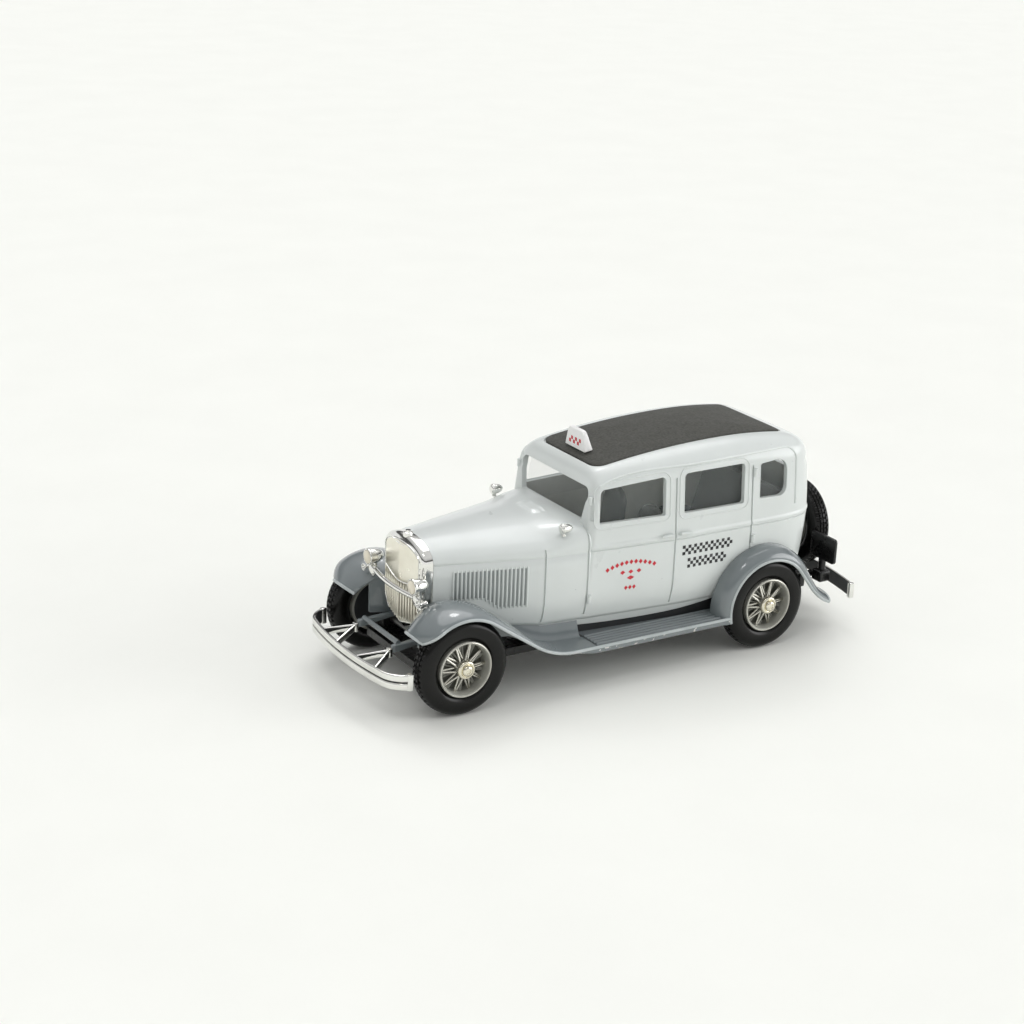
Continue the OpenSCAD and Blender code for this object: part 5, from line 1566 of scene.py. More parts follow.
def shell_trim():
    """Beads under the shield and round the face, and the filler's cap."""
    reach = grille_half(shield_z(SHIELD_HALF)) - 0.1
    edge = tube([on_shell(y, shield_z(y), 0.02) for y in steps(-reach, reach, 40)], 0.13, 8)
    rim = tube([on_shell(y, z) for y, z in shell_outline(1.0)], 0.14, 8, closed=True)
    return joined(edge, rim, moved(revolve(FILLER_CAP, 40), shift(FILLER_X, 0, FILLER_Z)))


def shield():
    round_h = NOSE_TOP_Z - BELT_Z + SHELL_OVER_HOOD - GRILLE_RIM
    rows = []
    for y in steps(-0.95 * GRILLE_HALF, 0.95 * GRILLE_HALF, 30):
        top = BELT_Z + round_h * math.sqrt(1 - (y / GRILLE_HALF) ** 2)
        rows.append([on_shell(y, z, SHIELD_LIFT) for z in steps(shield_z(y) + GRILLE_END, top, 14)])
    return grid(rows, wrap_columns=False)


piece("radiator_front", joined(shield(), *grille_bars()), SATIN, smooth_angle=40)
piece("radiator", joined(shell_form(), shell_trim()), CHROME,
      replaces=("radiator_shell",), smooth_angle=40)
# Painted shade between the grille's bars
piece("grille_gap_shades", joined(*grille_gap_shades()), PAINTED_GRILLE_SHADE)

# Headlamps, horns and their bar; the profiles are [radius, height] about the axis of each
LAMP_FRONT_X = FRONT_AXLE_X + 4.6
LAMP_Y = 7.8
LAMP_Z = 20.3
LAMP_R = 1.45
LAMP_LEN = 2.6
LAMP_BACK = 0.93
LAMP_RIM = ((0.97, 0.03), (1, 0.12), (1, 0.36), (0.97, 0.46), (0.92, 0.5), (0.85, 0.48),
            (0.83, 0.2), (0, 0.2))
LENS_R = LAMP_R - 0.3
LENS_T = 0.2
LENS_DOME = 0.4
BAR_SAG = 0.9
BAR_R = 0.48
BOSS_Z = LAMP_Z - 2.5
BOSS_R = 1.15
BOSS_LEN = 0.9
BOSS_DOME = 0.6
POST_X = LAMP_FRONT_X - 1
POST_R = 0.5
STAY_R = 0.4
LINK_R = 0.25
HORN_OUT = 1.75
HORN_BODY = [(0, -1.5), (0.4, -1.5), (0.45, -1.42), (0.45, -1.15), (0.35, -0.95),
             (0.24, -0.8), (0.26, -0.4)]
HORN_MOUTH = [(0.33, -0.2), (0.44, -0.05), (0.58, 0.08), (0.64, 0.2), (0.6, 0.3), (0.5, 0.28),
              (0.3, -0.05), (0, -0.2)]


def lamp_bowl():
    back = [(LAMP_R * LAMP_BACK * sin(a) ** 0.8, -LAMP_LEN * cos(a)) for a in quarter(24)]
    return revolve(back + [(LAMP_R * r, z) for r, z in LAMP_RIM], 48)


def lamp_lens():
    dome = [(LENS_R * cos(a), LENS_T + LENS_DOME * sin(a)) for a in quarter()]
    return revolve([(0, 0), (LENS_R, 0)] + dome, 48)


def headlamp_side():
    """Left lamp with its boss, post, stay and horn."""
    boss = revolve([(0, -0.6)] + [(BOSS_R * cos(a), BOSS_LEN + BOSS_DOME * sin(a)) for a in quarter()], 40)
    horn = revolve(HORN_BODY + HORN_MOUTH, 32)
    foot = (POST_X, LAMP_Y, BOSS_Z)
    post = tube([foot, (POST_X, LAMP_Y, LAMP_Z - LAMP_R + 0.4)], POST_R, 20)
    stay = tube([foot, (POST_X, LAMP_Y + 1.3, BOSS_Z - 0.84)], STAY_R, 20)
    link = tube([(POST_X - 0.2, LAMP_Y + HORN_OUT, BOSS_Z),
                 (POST_X - 0.1, LAMP_Y + 0.5, BOSS_Z)], LINK_R, 14)
    return joined(ahead(lamp_bowl(), LAMP_FRONT_X, LAMP_Y, LAMP_Z),
                  ahead(boss, LAMP_FRONT_X - 1.5, LAMP_Y, BOSS_Z),
                  ahead(horn, LAMP_FRONT_X, LAMP_Y + HORN_OUT, BOSS_Z), post, stay, link)


def lamp_bar():
    """Bar from lamp to lamp, bowed forward."""
    curve = (LAMP_Y ** 2 + BAR_SAG ** 2) / (2 * BAR_SAG)
    half_angle = math.asin(LAMP_Y / curve)
    x = LAMP_FRONT_X - 0.9 + BAR_SAG - curve
    path = [(x + curve * cos(a), curve * sin(a), BOSS_Z + 0.2) for a in steps(-half_angle, half_angle, 32)]
    return tube(path, BAR_R, 20)


piece("headlamps", joined(both_sides(headlamp_side()), lamp_bar()), CHROME,
      replaces=("headlamp_bar",), smooth_angle=40)
# The lenses' cream tone is a painted reflection
piece("lenses", both_sides(ahead(lamp_lens(), LAMP_FRONT_X + 0.25, LAMP_Y, LAMP_Z)), LENS_PAINTED_REFLECTION,
      replaces=("headlamp_lenses",))

# Cowl lamps on short stems
COWL_LAMP_X = SCREEN_X + 4.6
COWL_LAMP_Y = belt_half(COWL_LAMP_X) - 1.1
COWL_LAMP_R = 0.95
COWL_LAMP_LEN = 1.7
COWL_LAMP_RIM = ((0.97, 0.04), (1, 0.12), (1, 0.34), (0.96, 0.44), (0.85, 0.5))
COWL_FOOT_R = 0.4
COWL_STEM = [(0, 0.05), (0.4, 0.05), (0.4, 0.2), (0.3, 0.3), (0.3, 0.85), (0, 0.85)]


def cowl_lamp():
    n = hood_squareness(COWL_LAMP_X)
    share = (COWL_LAMP_Y - COWL_FOOT_R) / belt_half(COWL_LAMP_X)
    foot_z = BELT_Z + (hood_top(COWL_LAMP_X) - BELT_Z) * power(1 - power(share, n), 1 / n)
    z = foot_z + 0.55 + COWL_LAMP_R * 0.8
    bullet = [(0.92 * COWL_LAMP_R * sin(a), -COWL_LAMP_LEN * cos(a)) for a in quarter(20)]
    bullet += [(r * COWL_LAMP_R, along) for r, along in COWL_LAMP_RIM]
    bullet += [(0.82 * COWL_LAMP_R * cos(a), 0.5 + 0.3 * sin(a)) for a in quarter(10)]
    stem = moved(revolve(COWL_STEM, 24), shift(COWL_LAMP_X, COWL_LAMP_Y, foot_z))
    return joined(ahead(revolve(bullet, 40), COWL_LAMP_X, COWL_LAMP_Y, z), stem)


piece("cowl_lamps", both_sides(cowl_lamp()), CHROME,
      replaces=("cowl_lamp_left", "cowl_lamp_right"), smooth_angle=40)

# Bumpers: two rounded bars with a groove between them
BUMPER_H = 2.7
BUMPER_T = 0.8
BUMPER_Z = 7.35
BLADE_R = 70.0
BLADE_CENTRE_X = -BLADE_R - BUMPER_T / 2
BLADE_BAR_H = BUMPER_H / 2 - 0.12
BLADE_BAR_Z = BUMPER_H / 2 - BLADE_BAR_H / 2
END_HALF_T = 0.6 * BUMPER_T
END_HALF_H = BUMPER_H / 2 + 0.1
FRONT_BLADE_SIZE = (15.8, 12.2, 4.5)
REAR_BLADE_SIZE = (16.8, 16.8, 5.2)
IRON_R = 0.42
IRON_HALF_H = 0.6
IRON_HALF_T = 0.28
IRON_SPREAD = (3.2, 9.6)
IRON_FOOT = Vector((0, 0.6, 0.8))
CROSS_X = FLOOR_REAR_X - 5.6
CROSS_HALF = 9.0
CROSS_Z = 9.2
MEMBER_X = CROSS_X - 0.5
MEMBER_T = 1.2


def blade_stations(half_width, flat_y, bend_r):
    """Places and directions [x, y, angle] along the blade's left half, from its middle."""
    flat = math.asin(flat_y / BLADE_R)
    end = math.asin((half_width - (BLADE_R - bend_r) * sin(flat)) / bend_r)
    stations = [(BLADE_CENTRE_X + BLADE_R * cos(a), BLADE_R * sin(a), a) for a in steps(0, flat, 20)]
    if end > flat + 0.02:
        x = BLADE_CENTRE_X + (BLADE_R - bend_r) * cos(flat)
        y = (BLADE_R - bend_r) * sin(flat)
        stations += [(x + bend_r * cos(a), y + bend_r * sin(a), a) for a in steps(flat, end, 24)[1:]]
    return stations


def blade_form(half_width, flat_y, bend_r):
    """Blade's bars with their end caps, and the web in the groove, which carries painted shade."""
    left = blade_stations(half_width, flat_y, bend_r)
    stations = [(x, -y, -a) for x, y, a in left[:0:-1]] + left

    def swept(out, half_out, up, half_up, shape):
        section = [(out + half_out * soft(cos(b), shape), up + half_up * soft(sin(b), shape))
                   for b in rounds(20)]
        return loft([[(x + n * cos(a), y + n * sin(a), z) for n, z in section] for x, y, a in stations])
    bars = [swept(0.125 * BUMPER_T, 0.375 * BUMPER_T, up * BLADE_BAR_Z, BLADE_BAR_H / 2, 0.6)
            for up in (-1, 1)]
    web = swept(-0.15 * BUMPER_T, 0.15 * BUMPER_T, 0, 0.45 * BUMPER_H, 0.3)
    x, y, a = left[-1]
    end = block((-END_HALF_T, -0.7, -END_HALF_H), (END_HALF_T, 0.3, END_HALF_H), 0.16)
    return joined(*bars, both_sides(moved(end, shift(x, y, 0) @ turned(a, "Z")))), web


def blade_x(y):
    return BLADE_CENTRE_X + math.sqrt(BLADE_R ** 2 - y * y)


def band(a, b, half_h, half_t):
    """Flat bar on edge from one point to another."""
    a = Vector(a)
    b = Vector(b)
    across = (b - a).cross(Vector((0, 0, 1))).normalized() * half_t
    section = [(soft(cos(t), 0.5), half_h * soft(sin(t), 0.5)) for t in rounds(20)]
    return loft([[p + across * n + Vector((0, 0, dz)) for n, dz in section]
                 for p in (a, mix(a, b, 0.5), b)])


FRONT_PLACE = shift(FRONT_REACH, 0, BUMPER_Z)
REAR_PLACE = shift(REAR_REACH, 0, BUMPER_Z) @ turned(pi, "Z")
FRONT_BLADE, FRONT_WEB = [moved(part, FRONT_PLACE) for part in blade_form(*FRONT_BLADE_SIZE)]
REAR_BLADE, REAR_WEB = [moved(part, REAR_PLACE) for part in blade_form(*REAR_BLADE_SIZE)]


def front_bumper():
    apex = Vector((HORN_TIP_X + SEAT_GAP, HORN_Y, HORN_Z - 0.6))
    root = apex + Vector((0.3, 0, 0))
    irons = [band(root, (FRONT_REACH + blade_x(y) - 0.1, y, BUMPER_Z), IRON_HALF_H, IRON_HALF_T)
             for y in IRON_SPREAD]
    foot = block(apex - IRON_FOOT, apex + IRON_FOOT + Vector((0.6, 0, 0)), 0.16)
    return joined(FRONT_BLADE, both_sides(*irons, foot))


def rear_bumper():
    y = CROSS_HALF - 1
    x = MEMBER_X - SEAT_GAP
    iron = tube(line((x, y, BUMPER_Z), (REAR_REACH - blade_x(y), y, BUMPER_Z), 4), IRON_R, 16)
    foot = block((x - 0.5, y - 0.6, BUMPER_Z - 0.9), (x, y + 0.6, BUMPER_Z + 0.6), 0.12)
    return joined(REAR_BLADE, both_sides(iron, foot))


piece("bumper_front", front_bumper(), CHROME, replaces=("front_bumper",), smooth_angle=50)
piece("bumper_rear", rear_bumper(), CHROME, replaces=("rear_bumper",), smooth_angle=50)
# Near black webs: painted shade in the bumpers' grooves
piece("bumper_groove_shades", joined(FRONT_WEB, REAR_WEB), PAINTED_SHADE_AND_SEAM, smooth_angle=50)

# Spare carrier and the plate with its lamp box
SPARE_X = TAIL_X - 5.1
SPARE_Z = 15.8
CARRIER_HALF = 1.45
PLATE_X = SPARE_X + TYRE_W / 2 + SEAT_GAP + 0.3
PLATE_Y = 11.6
PLATE_Z = 14.6
PLATE_W = 6.8
PLATE_H = 4.8
PLATE_T = 0.6
PLATE_CORNER_R = 0.6
ARM_T = 0.8
ARM_H = 0.9
ARM_Y = CROSS_HALF - 0.9
ARM_Z = BUMPER_Z + 0.7
AXLE_R = 0.8


def spare_carrier():
    member = block((MEMBER_X, -CROSS_HALF, BUMPER_Z - 1.2),
                   (MEMBER_X + MEMBER_T, CROSS_HALF, CROSS_Z + 0.5), 0.25)
    tank = block((MEMBER_X, -CROSS_HALF, CROSS_Z - 0.4),
                 (FLOOR_REAR_X - 0.1, CROSS_HALF, CROSS_Z + 0.6), 0.2)
    panel = [(CROSS_X, CROSS_Z), (CROSS_X + 1, CROSS_Z), (CROSS_X + 2.2, TAIL_LOW_Z - 0.8),
             (CROSS_X + 2.2, TAIL_LOW_Z - 0.2), (CROSS_X + 1.2, TAIL_LOW_Z - 0.2), (CROSS_X, CROSS_Z + 1)]
    arm = [(MEMBER_X, CROSS_Z), (MEMBER_X + MEMBER_T, CROSS_Z), (TAIL_X - 0.3, SPARE_Z - 1),
           (TAIL_X - 0.3, SPARE_Z + 1), (TAIL_X - 1.2, SPARE_Z + 1), (MEMBER_X, CROSS_Z + 1)]
    pin = tube([(TAIL_X - 0.4, 0, SPARE_Z), (SPARE_X - 0.4, 0, SPARE_Z)], AXLE_R, 28)
    return joined(member, tank, slab(panel, 1 - CROSS_HALF, CROSS_HALF - 1, 1),
                  slab(arm, -CARRIER_HALF, CARRIER_HALF, 1), pin)


def plate_bracket():
    half_y = PLATE_W / 2 - PLATE_CORNER_R
    half_z = PLATE_H / 2 - PLATE_CORNER_R
    circles = [(PLATE_Y + way * half_y, PLATE_Z + up * half_z, PLATE_CORNER_R)
               for way in (-1, 1) for up in (-1, 1)]
    plate = slab(hull_outline(circles, 32), PLATE_X - PLATE_T / 2, PLATE_X + PLATE_T / 2, 0, 0.12)
    box = Vector((PLATE_X - 0.3, PLATE_Y - 0.4, BUMPER_Z + 1.4))
    lamp = block(box + Vector((-1.1, -1.3, -0.8)), box + Vector((1.3, 1.3, 1.3)), 0.35, 4)
    stem = tube([box + Vector((0, 0, 1.2)), (box.x, box.y, PLATE_Z - PLATE_H / 2 + 0.3)], 0.7, 24)
    corner = (PLATE_X - ARM_T / 2, ARM_Y, ARM_Z)
    across = block(corner, (PLATE_X + ARM_T / 2, PLATE_Y - 0.6, ARM_Z + ARM_H), 0.15)
    along = block(corner, (CROSS_X - 0.55, ARM_Y + ARM_T, ARM_Z + ARM_H), 0.15)
    return joined(plate, lamp, stem, across, along)


piece("carrier", spare_carrier(), BLACK, replaces=("spare_carrier",))
piece("rear_plate", plate_bracket(), BLACK, replaces=("plate_bracket",))

# Interior
TUB_LOW_Z = FLOOR_TOP_Z + 0.05
TUB_HALF = FLOOR_HALF - WALL
TUB_T = 1.2
TUB_FRONT_X = SCREEN_X - 2.5
BENCH_X = REAR_AXLE_X - 1.2
BENCH_HALF = 11
BUCKET_X = DOOR_MIDDLE_X + 1.2
BUCKET_TOP_Z = BELT_Z + 0.6
BUCKET_FOOT_Z = TUB_LOW_Z + 2
BUCKET_HALF_T = 0.8
BUCKET_FOOT_R = 0.4
BUCKET_EDGE = ((-1, 0.3), (-0.85, 0.1), (-0.6, 0), (0.6, 0), (0.85, 0.1), (1, 0.3))
SEAT_Y = 5.6
SEAT_HALF = 2.9
DASH_X = SCREEN_X - 4.2
DASH_HALF = 10.4
DASH_LEG_X = SCREEN_X - 4
DASH_LEG_HALF = 1.2
STEERING_R = 3.3
STEERING_RAKE = 35
STEERING_BACK = 3.2
COLUMN_R = 0.4
STEERING_BOSS = [(0, -0.35), (0.6, -0.35), (0.75, -0.2), (0.75, 0.2), (0.6, 0.35), (0, 0.35)]


def bucket_seat():
    cushion = block((BUCKET_X - 0.4, SEAT_Y - SEAT_HALF, TUB_LOW_Z + 1),
                    (BUCKET_X + 6, SEAT_Y + SEAT_HALF, TUB_LOW_Z + 5.6), 0.8, 5)

    def row(share, inset):
        circles = [(SEAT_Y, BUCKET_TOP_Z, SEAT_HALF - inset)]
        for way in (-1, 1):
            y = SEAT_Y + way * (SEAT_HALF - BUCKET_FOOT_R)
            circles.append((y, BUCKET_FOOT_Z + BUCKET_FOOT_R, BUCKET_FOOT_R - inset))
        points = []
        for y, z in hull_outline(circles, 40):
            lean = mix(BUCKET_X - 0.9, BUCKET_X - 2, (z - BUCKET_FOOT_Z) / (BUCKET_TOP_Z - BUCKET_FOOT_Z))
            points.append((lean + share * BUCKET_HALF_T, y, z))
        return points
    return joined(cushion, loft([row(share, inset) for share, inset in BUCKET_EDGE]))


def interior():
    front_half = belt_half(TUB_FRONT_X) - TURN_IN - WALL - SEAT_GAP
    outline = both_edges([(TUB_FRONT_X, front_half), (DOOR_MIDDLE_X, TUB_HALF), (BENCH_X, TUB_HALF),
                          (TAIL_X + 5.5, TUB_HALF - 1.2)])
    floor = prism(outline, TUB_LOW_Z, TUB_LOW_Z + TUB_T, 2)
    bench = block((BENCH_X - 1, 0.3 - TUB_HALF, TUB_LOW_Z + 0.8),
                  (BENCH_X + 7.4, TUB_HALF - 0.3, TUB_LOW_Z + 6.8), 1.0, 5)
    back = [(BENCH_X - 3.2, TUB_LOW_Z + 1), (BENCH_X - 0.2, TUB_LOW_Z + 1), (BENCH_X - 0.2, TUB_LOW_Z + 2),
            (BENCH_X - 4.8, BELT_Z + 3.8), (BENCH_X - 6.4, BELT_Z + 3.8), (BENCH_X - 6.4, BELT_Z + 3)]
    dash = [(DASH_X, BELT_Z - 1), (SCREEN_X - 3.2, BELT_Z - 1.6), (SCREEN_X - 2.6, BELT_Z - 1.6),
            (SCREEN_X - 2.6, BELT_Z + 3), (SCREEN_X - 3.2, BELT_Z + 3), (DASH_X, BELT_Z + 2)]
    leg = block((DASH_LEG_X, SEAT_Y - DASH_LEG_HALF, TUB_LOW_Z + 1),
                (DASH_LEG_X + 1, SEAT_Y + DASH_LEG_HALF, BELT_Z - 0.5), 0.2)
    return joined(floor, bench, slab(back, -BENCH_HALF, BENCH_HALF, 1, 0.5),
                  slab(dash, -DASH_HALF, DASH_HALF, 1, 0.3), both_sides(bucket_seat(), leg))


def steering_wheel():
    rim = tube(circle(STEERING_R, 0, 72), 0.3, 12, closed=True)
    spokes = [tube([(0, 0, 0), end], 0.2, 10) for end in circle(STEERING_R, 0, 3)]
    length = (STEERING_BACK - COLUMN_R * sine(STEERING_RAKE) - 0.1) / cosine(STEERING_RAKE)
    column = tube([(0, 0, 0), (0, 0, length)], COLUMN_R, 20)
    place = shift(DASH_LEG_X - STEERING_BACK, SEAT_Y, BELT_Z - 0.2)
    raked = place @ turned(radians(90 + STEERING_RAKE), "Y")
    return moved(joined(rim, revolve(STEERING_BOSS, 32), column, *spokes), raked)


piece("interior", interior(), INTERIOR, replaces=("interior_tub",))
piece("steering", steering_wheel(), BLACK, replaces=("steering_wheel",))

# Wheels: made about Z with the outer face up, then set at each corner and behind the tail
RIM_WALL = 0.4
SEEN_RIM_R = 4.7
DISC_R = SEEN_RIM_R - RIM_WALL + 0.05
BORE_R = AXLE_R + 0.1
HUB_IN = -1.8
HUB_OUT = TYRE_W / 2 - 0.1
TYRE_SQUARENESS = 2.7
TYRE_LEVELS = (0.34, 0.36, 1.05, 1.22, 1.3, 1.45, 1.6, 1.72, 1.82, 1.9, 1.96, 1.99)
WALL_FROM = 1.55
WALL_IN_R = SEEN_RIM_R + 0.28
TREAD_HALF = 1.25
TREAD_DEPTH = 0.24
TREAD_BLOCKS = 54
TREAD_STEPS = 4 * TREAD_BLOCKS
TREAD_GROOVES = (-0.7, 0.0, 0.7)
GROOVE_EDGES = (0.09, 0.13)
RIM_SEAT = [(-RIM_WALL, -1.8), (0, -1.8), (0, 1.6), (0.16, 1.76), (0.23, 1.9), (0.22, 2.04), (0.14, 2.12)]
RIM_FACE = [(-0.08, 2.12), (-0.2, 2.06), (-0.28, 1.9), (-0.34, 1.6), (-RIM_WALL, 1.4), (-RIM_WALL, -1.8)]
HUB = [(0, HUB_IN), (1.3, HUB_IN), (HUB_R, HUB_IN + 0.15), (HUB_R, -0.2), (1.25, 0.3), (1.25, 0.9),
       (HUB_R, 1.4), (HUB_R, HUB_OUT), (0, HUB_OUT)]
SPOKE_SPREAD = 17
SPOKE_MEET = 1.5
REAR_ROW = (18, 0.3, 0.3, 0.1)
FRONT_ROW = (0, 1.45, 1.1, 0.75)
RIM_BEAD = circle(SEEN_RIM_R + 0.03, 2.04, 96)
RIM_BEAD_R = 0.11
DRUM = [(1.2, -0.1), (2.4, -0.25), (3.4, -0.5), (DISC_R, -0.6)]
# Disc at the back of the wheel, which carries painted shade
WHEEL_BACK = [(BORE_R, -1.75), (DISC_R, -1.75), (DISC_R, -1.55), (BORE_R, -1.5), (BORE_R, -1.75)]
CAP_RIM = [(0, 0), (CAP_R, 0), (CAP_R, 0.22), (1.56, 0.34), (1.45, 0.44), (1.3, 0.5), (1.2, 0.48),
           (1.14, 0.34), (1.06, 0.3), (1.0, 0.34)]
CAP_DOME = [(0.96, 0.5), (0.93, 0.74), (0.85, 0.87), (0.7, 0.96), (0.55, 1.01), (0.47, 1.02), (0.42, 0.98),
            (0.4, 0.9), (0.25, 0.94), (0, 0.95)]


def tyre_form():
    """Tyre with three grooves and staggered blocks; its outer wall is drawn in to the rim that shows."""
    inner = SEEN_RIM_R + 0.02
    middle = (inner + TYRE_R) / 2
    half = (TYRE_R - inner) / 2
    levels = [g + way * e for g in TREAD_GROOVES for way in (-1, 1) for e in GROOVE_EDGES]
    levels = sorted(levels + [way * z for z in TYRE_LEVELS for way in (-1, 1)])

    def bulge(z):
        return half * power(1 - abs(2 * z / TYRE_W) ** TYRE_SQUARENESS, 1 / TYRE_SQUARENESS)

    def tread(z, step):
        if abs(z) > TREAD_HALF:
            return 0.0
        if min(abs(z - g) for g in TREAD_GROOVES) < 0.1:
            return TREAD_DEPTH
        stagger = 2 if abs(z) < TREAD_GROOVES[-1] else 0
        return TREAD_DEPTH * 0.8 if (step + stagger) % 4 == 0 else 0.0

    def ring(step):
        a = 2 * pi * step / TREAD_STEPS
        outer = [(middle + bulge(z) - tread(z, step), z) for z in levels]
        back = [(middle - bulge(z), z) for z in reversed(levels[::2])]
        wall = [(max(r, WALL_IN_R) if z > WALL_FROM else r, z) for r, z in outer + back]
        return [(r * cos(a), r * sin(a), z) for r, z in wall]
    return grid([ring(step) for step in range(TREAD_STEPS)], wrap_rows=True)


def spoke_row(start, foot, other_foot, head):
    """Pairs of spokes that spread from the hub and meet at the rim."""
    hub_side = HUB_R - 0.25
    rim_side = SEEN_RIM_R - RIM_WALL / 2
    spokes = []
    for i in range(SPOKE_PAIRS):
        for way, z in ((-1, other_foot), (1, foot)):
            near = 360 * i / SPOKE_PAIRS + way * SPOKE_SPREAD + start
            far = 360 * i / SPOKE_PAIRS + way * SPOKE_MEET + start
            spokes.append(tube([(hub_side * cosine(near), hub_side * sine(near), z),
                                (rim_side * cosine(far), rim_side * sine(far), head)], SPOKE_R, 10))
    return joined(*spokes)


# The rear row of spokes takes the rim's darker silver: painted shade behind the brighter front row
def rim_form():
    rim = [(SEEN_RIM_R + r, z) for r, z in RIM_SEAT + RIM_FACE]
    return joined(revolve(rim, 96), revolve(HUB, 48), spoke_row(*REAR_ROW))


def spokes_form():
    return joined(tube(RIM_BEAD, RIM_BEAD_R, 10, closed=True), spoke_row(*FRONT_ROW))


WHEEL_PLACES = [("spare", "chassis", shift(SPARE_X, 0, SPARE_Z) @ turned(-pi / 2, "Y"))]
for end, x in (("front", FRONT_AXLE_X), ("rear", REAR_AXLE_X)):
    for side, way in (("left", 1), ("right", -1)):
        place = shift(x, way * TRACK / 2, TYRE_R) @ turned(-way * pi / 2, "X")
        WHEEL_PLACES.append((end + "_" + side, end + "_wheels", place))


def wheel_pieces(name, part, material, kind="", smooth_angle=35):
    """One mesh, shown at every wheel; kind is the solids' name that it stands for."""
    first = raw_object(name, part)
    mesh = first.data
    bpy.data.objects.remove(first)
    mesh.transform(Matrix.Scale(MM, 4))
    finish_mesh(mesh, material, smooth_angle)
    for where, body, place in WHEEL_PLACES:
        obj = bpy.data.objects.new(name + "_" + where, mesh)
        bpy.context.scene.collection.objects.link(obj)
        at_wheel = shift(MIDDLE_X, 0, 0) @ place
        at_wheel.translation *= MM
        obj.matrix_world = at_wheel
        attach(obj, body)
        if kind:
            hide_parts("spare_" + kind if where == "spare" else kind + "_" + where)


wheel_pieces("tread", tyre_form(), RUBBER, "tyre", 30)
wheel_pieces("rim", rim_form(), WHEEL_SILVER, "wheel")
wheel_pieces("spokes", spokes_form(), SPOKE_METAL)
wheel_pieces("drum", revolve(DRUM, 72), DRUM_GREY)
# Near black back of each wheel: painted shade on the wheels' inner side
wheel_pieces("wheel_back", revolve(WHEEL_BACK, 72), PAINTED_SHADE_AND_SEAM)
wheel_pieces("cap", moved(revolve(CAP_RIM + CAP_DOME, 64), shift(0, 0, HUB_OUT + 0.05)), NICKEL,
             "hub_cap", 40)

# Marks on the doors: an arch of lozenges over short rows in front, draughtboard bands behind
MARK_LIFT = 0.025
CREST_X = -3.5
CREST_Z = 20.1
CREST_HALF = 4.6
CREST_FALL = 0.95
CREST_ROWS = (((-1.9, CREST_X, -5.1), 18.3, 0.5, 0.4), ((CREST_X,), 17.2, 0.75, 0.4),
              ((-2.7, CREST_X, -4.3), 15.4, 0.36, 0.44))
DRAUGHT_SIZE = 0.6
DRAUGHT_ROWS = 3
DRAUGHT_BANDS = ((-13.7, 19.8, 18), (-14.9, 17.3, 14))


def mark(corners):
    points = [tuple(on_side(x, z, MARK_LIFT)[0]) for x, z in corners]
    return points, [tuple(range(len(points)))]


def lozenge(x, z, half_x, half_z):
    return mark([(x + half_x, z), (x, z + half_z), (x - half_x, z), (x, z - half_z)])


def door_lozenges():
    marks = [lozenge(CREST_X + CREST_HALF * t, CREST_Z - CREST_FALL * t * t, 0.4, 0.46)
             for t in steps(-1, 1, 10)]
    for places, z, half_x, half_z in CREST_ROWS:
        marks += [lozenge(x, z, half_x, half_z) for x in places]
    return both_sides(*marks)


def door_boards():
    marks = []
    for first, low, columns in DRAUGHT_BANDS:
        for column in range(columns):
            for row in range(column % 2, DRAUGHT_ROWS, 2):
                x = first - column * DRAUGHT_SIZE
                z = low + row * DRAUGHT_SIZE
                marks.append(mark(board_corners(x, z, -DRAUGHT_SIZE)))
    return both_sides(*marks)


piece("door_lozenges", door_lozenges(), RED_INK)
piece("door_boards", door_boards(), BLACK_INK)

# Camera at the photograph's place
CAMERA_RIGHT = Vector((-0.85218, 0.52201, 0.03603))
CAMERA_DOWN = Vector((0.14696, 0.30486, -0.94099))
CAMERA_AHEAD = Vector((-0.50220, -0.79659, -0.33651))
CAMERA_PLACE = Vector((190.03 + MIDDLE_X, 281.63, 146.20)) * MM
SENSOR_W = 36.0
FOCAL_PX = 2054.43
IMAGE_PX = 1024
NEAREST = 0.01


def add_camera():
    data = bpy.data.cameras.new("camera")
    data.sensor_width = SENSOR_W
    data.lens = data.sensor_width * FOCAL_PX / IMAGE_PX
    data.clip_start = NEAREST
    camera = bpy.data.objects.new("camera", data)
    axes = Matrix((CAMERA_RIGHT, -CAMERA_DOWN, -CAMERA_AHEAD)).transposed().to_4x4()
    camera.matrix_world = shift(*CAMERA_PLACE) @ axes
    bpy.context.scene.collection.objects.link(camera)
    bpy.context.scene.camera = camera


def add_sun(name, towards, strength, spread):
    """Soft light of one direction, even over the whole floor."""
    data = bpy.data.lights.new(name, "SUN")
    data.energy = strength
    data.angle = radians(spread)
    lamp = bpy.data.objects.new(name, data)
    lamp.rotation_euler = Vector(towards).to_track_quat("-Z", "Y").to_euler()
    bpy.context.scene.collection.objects.link(lamp)


# Studio: brightness by height, from the horizon and below it (0) to straight above (1)
SKY_LEVEL = 0.7
SKY_STOPS = ((0.0, 1.33), (0.26, 1.33), (0.3, 0.1), (0.42, 0.15), (0.5, 0.75), (0.7, 1.0))
# Round bright panels in the studio: direction and brightness, for the small highlights on paint and plating
LIGHT_PANELS = (((-0.26, -0.56, 0.79), 9.0), ((0.3, 0.3, 0.9), 9.0))
LIGHT_SPREAD = 5
# Suns: name, direction, strength and spread in degrees
SUNS = (("key", (0.25, 0.45, -1.0), 0.82, 50), ("side", (1.0, -0.65, -0.28), 1.2, 40))
FLOOR_SIZE = 8


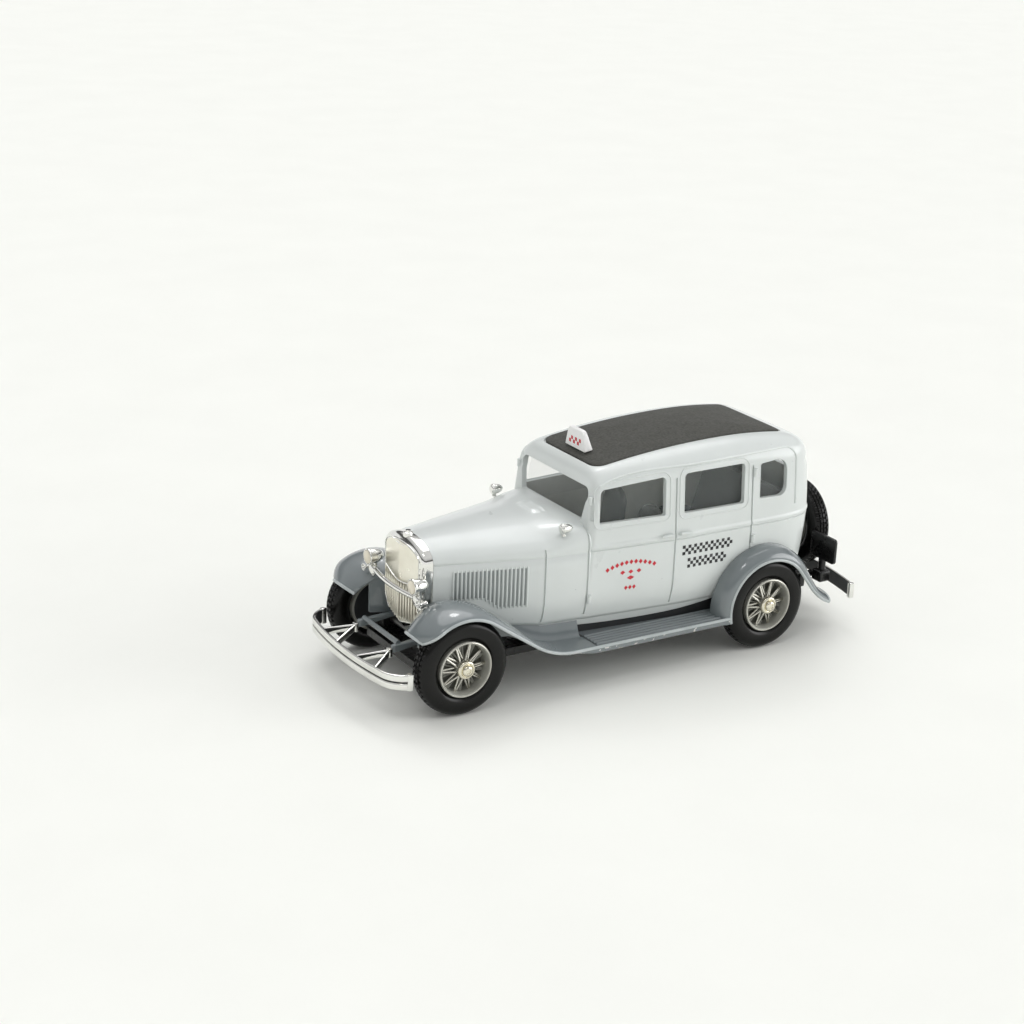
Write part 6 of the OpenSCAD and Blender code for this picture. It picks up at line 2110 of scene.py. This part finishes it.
def add_world():
    """Studio round the part: white wall, a dark band over it for the plating to mirror, bright ceiling."""
    world = bpy.data.worlds.new("studio")
    world.use_nodes = True
    nodes = world.node_tree.nodes
    links = world.node_tree.links
    background = nodes["Background"]
    view = nodes.new("ShaderNodeTexCoord").outputs["Generated"]
    height = nodes.new("ShaderNodeSeparateXYZ")
    links.new(view, height.inputs["Vector"])
    share = nodes.new("ShaderNodeMapRange")
    links.new(height.outputs["Z"], share.inputs["Value"])
    ramp = nodes.new("ShaderNodeValToRGB")
    while len(ramp.color_ramp.elements) < len(SKY_STOPS):
        ramp.color_ramp.elements.new(0.5)
    for element, (position, level) in zip(ramp.color_ramp.elements, SKY_STOPS):
        element.position = position
        element.color = (level, level, level, 1)
    links.new(share.outputs["Result"], ramp.inputs["Fac"])
    level = ramp.outputs["Color"]
    for towards, brightness in LIGHT_PANELS:
        facing = nodes.new("ShaderNodeVectorMath")
        facing.operation = "DOT_PRODUCT"
        facing.inputs[1].default_value = Vector(towards).normalized()
        links.new(view, facing.inputs[0])
        panel = nodes.new("ShaderNodeMapRange")
        panel.inputs["From Min"].default_value = cosine(LIGHT_SPREAD + 1)
        panel.inputs["From Max"].default_value = cosine(LIGHT_SPREAD)
        panel.inputs["To Max"].default_value = brightness
        links.new(facing.outputs["Value"], panel.inputs["Value"])
        whole = nodes.new("ShaderNodeMath")
        links.new(level, whole.inputs[0])
        links.new(panel.outputs["Result"], whole.inputs[1])
        level = whole.outputs["Value"]
    links.new(level, background.inputs["Color"])
    background.inputs["Strength"].default_value = SKY_LEVEL
    bpy.context.scene.world = world


def add_floor():
    bpy.ops.mesh.primitive_plane_add(size=FLOOR_SIZE)
    floor = bpy.context.object
    floor.name = "floor"
    finish = Finish("pale_floor", Specular_IOR_Level=0.1)
    finish.colour(finish.tones(finish.noise(40), (246, 247, 242), (248, 249, 244)))
    finish.roughness(finish.noise(60), 0.8, 0.9)
    floor.data.materials.append(finish.material)


add_camera()
add_world()
add_floor()
for sun in SUNS:
    add_sun(*sun)
bpy.context.scene.view_settings.view_transform = "Standard"

# CAD nodes that show as they are
PLAIN_NODES = {"base_plate": BLACK, "base_screws": STEEL, "front_axle": STEEL, "rear_axle": STEEL}
for node, finish in PLAIN_NODES.items():
    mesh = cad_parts[node].data
    mesh.materials.clear()
    mesh.materials.append(finish)

for skin in (cabin_skin, hood_skin, shell_front):
    bpy.data.objects.remove(skin)
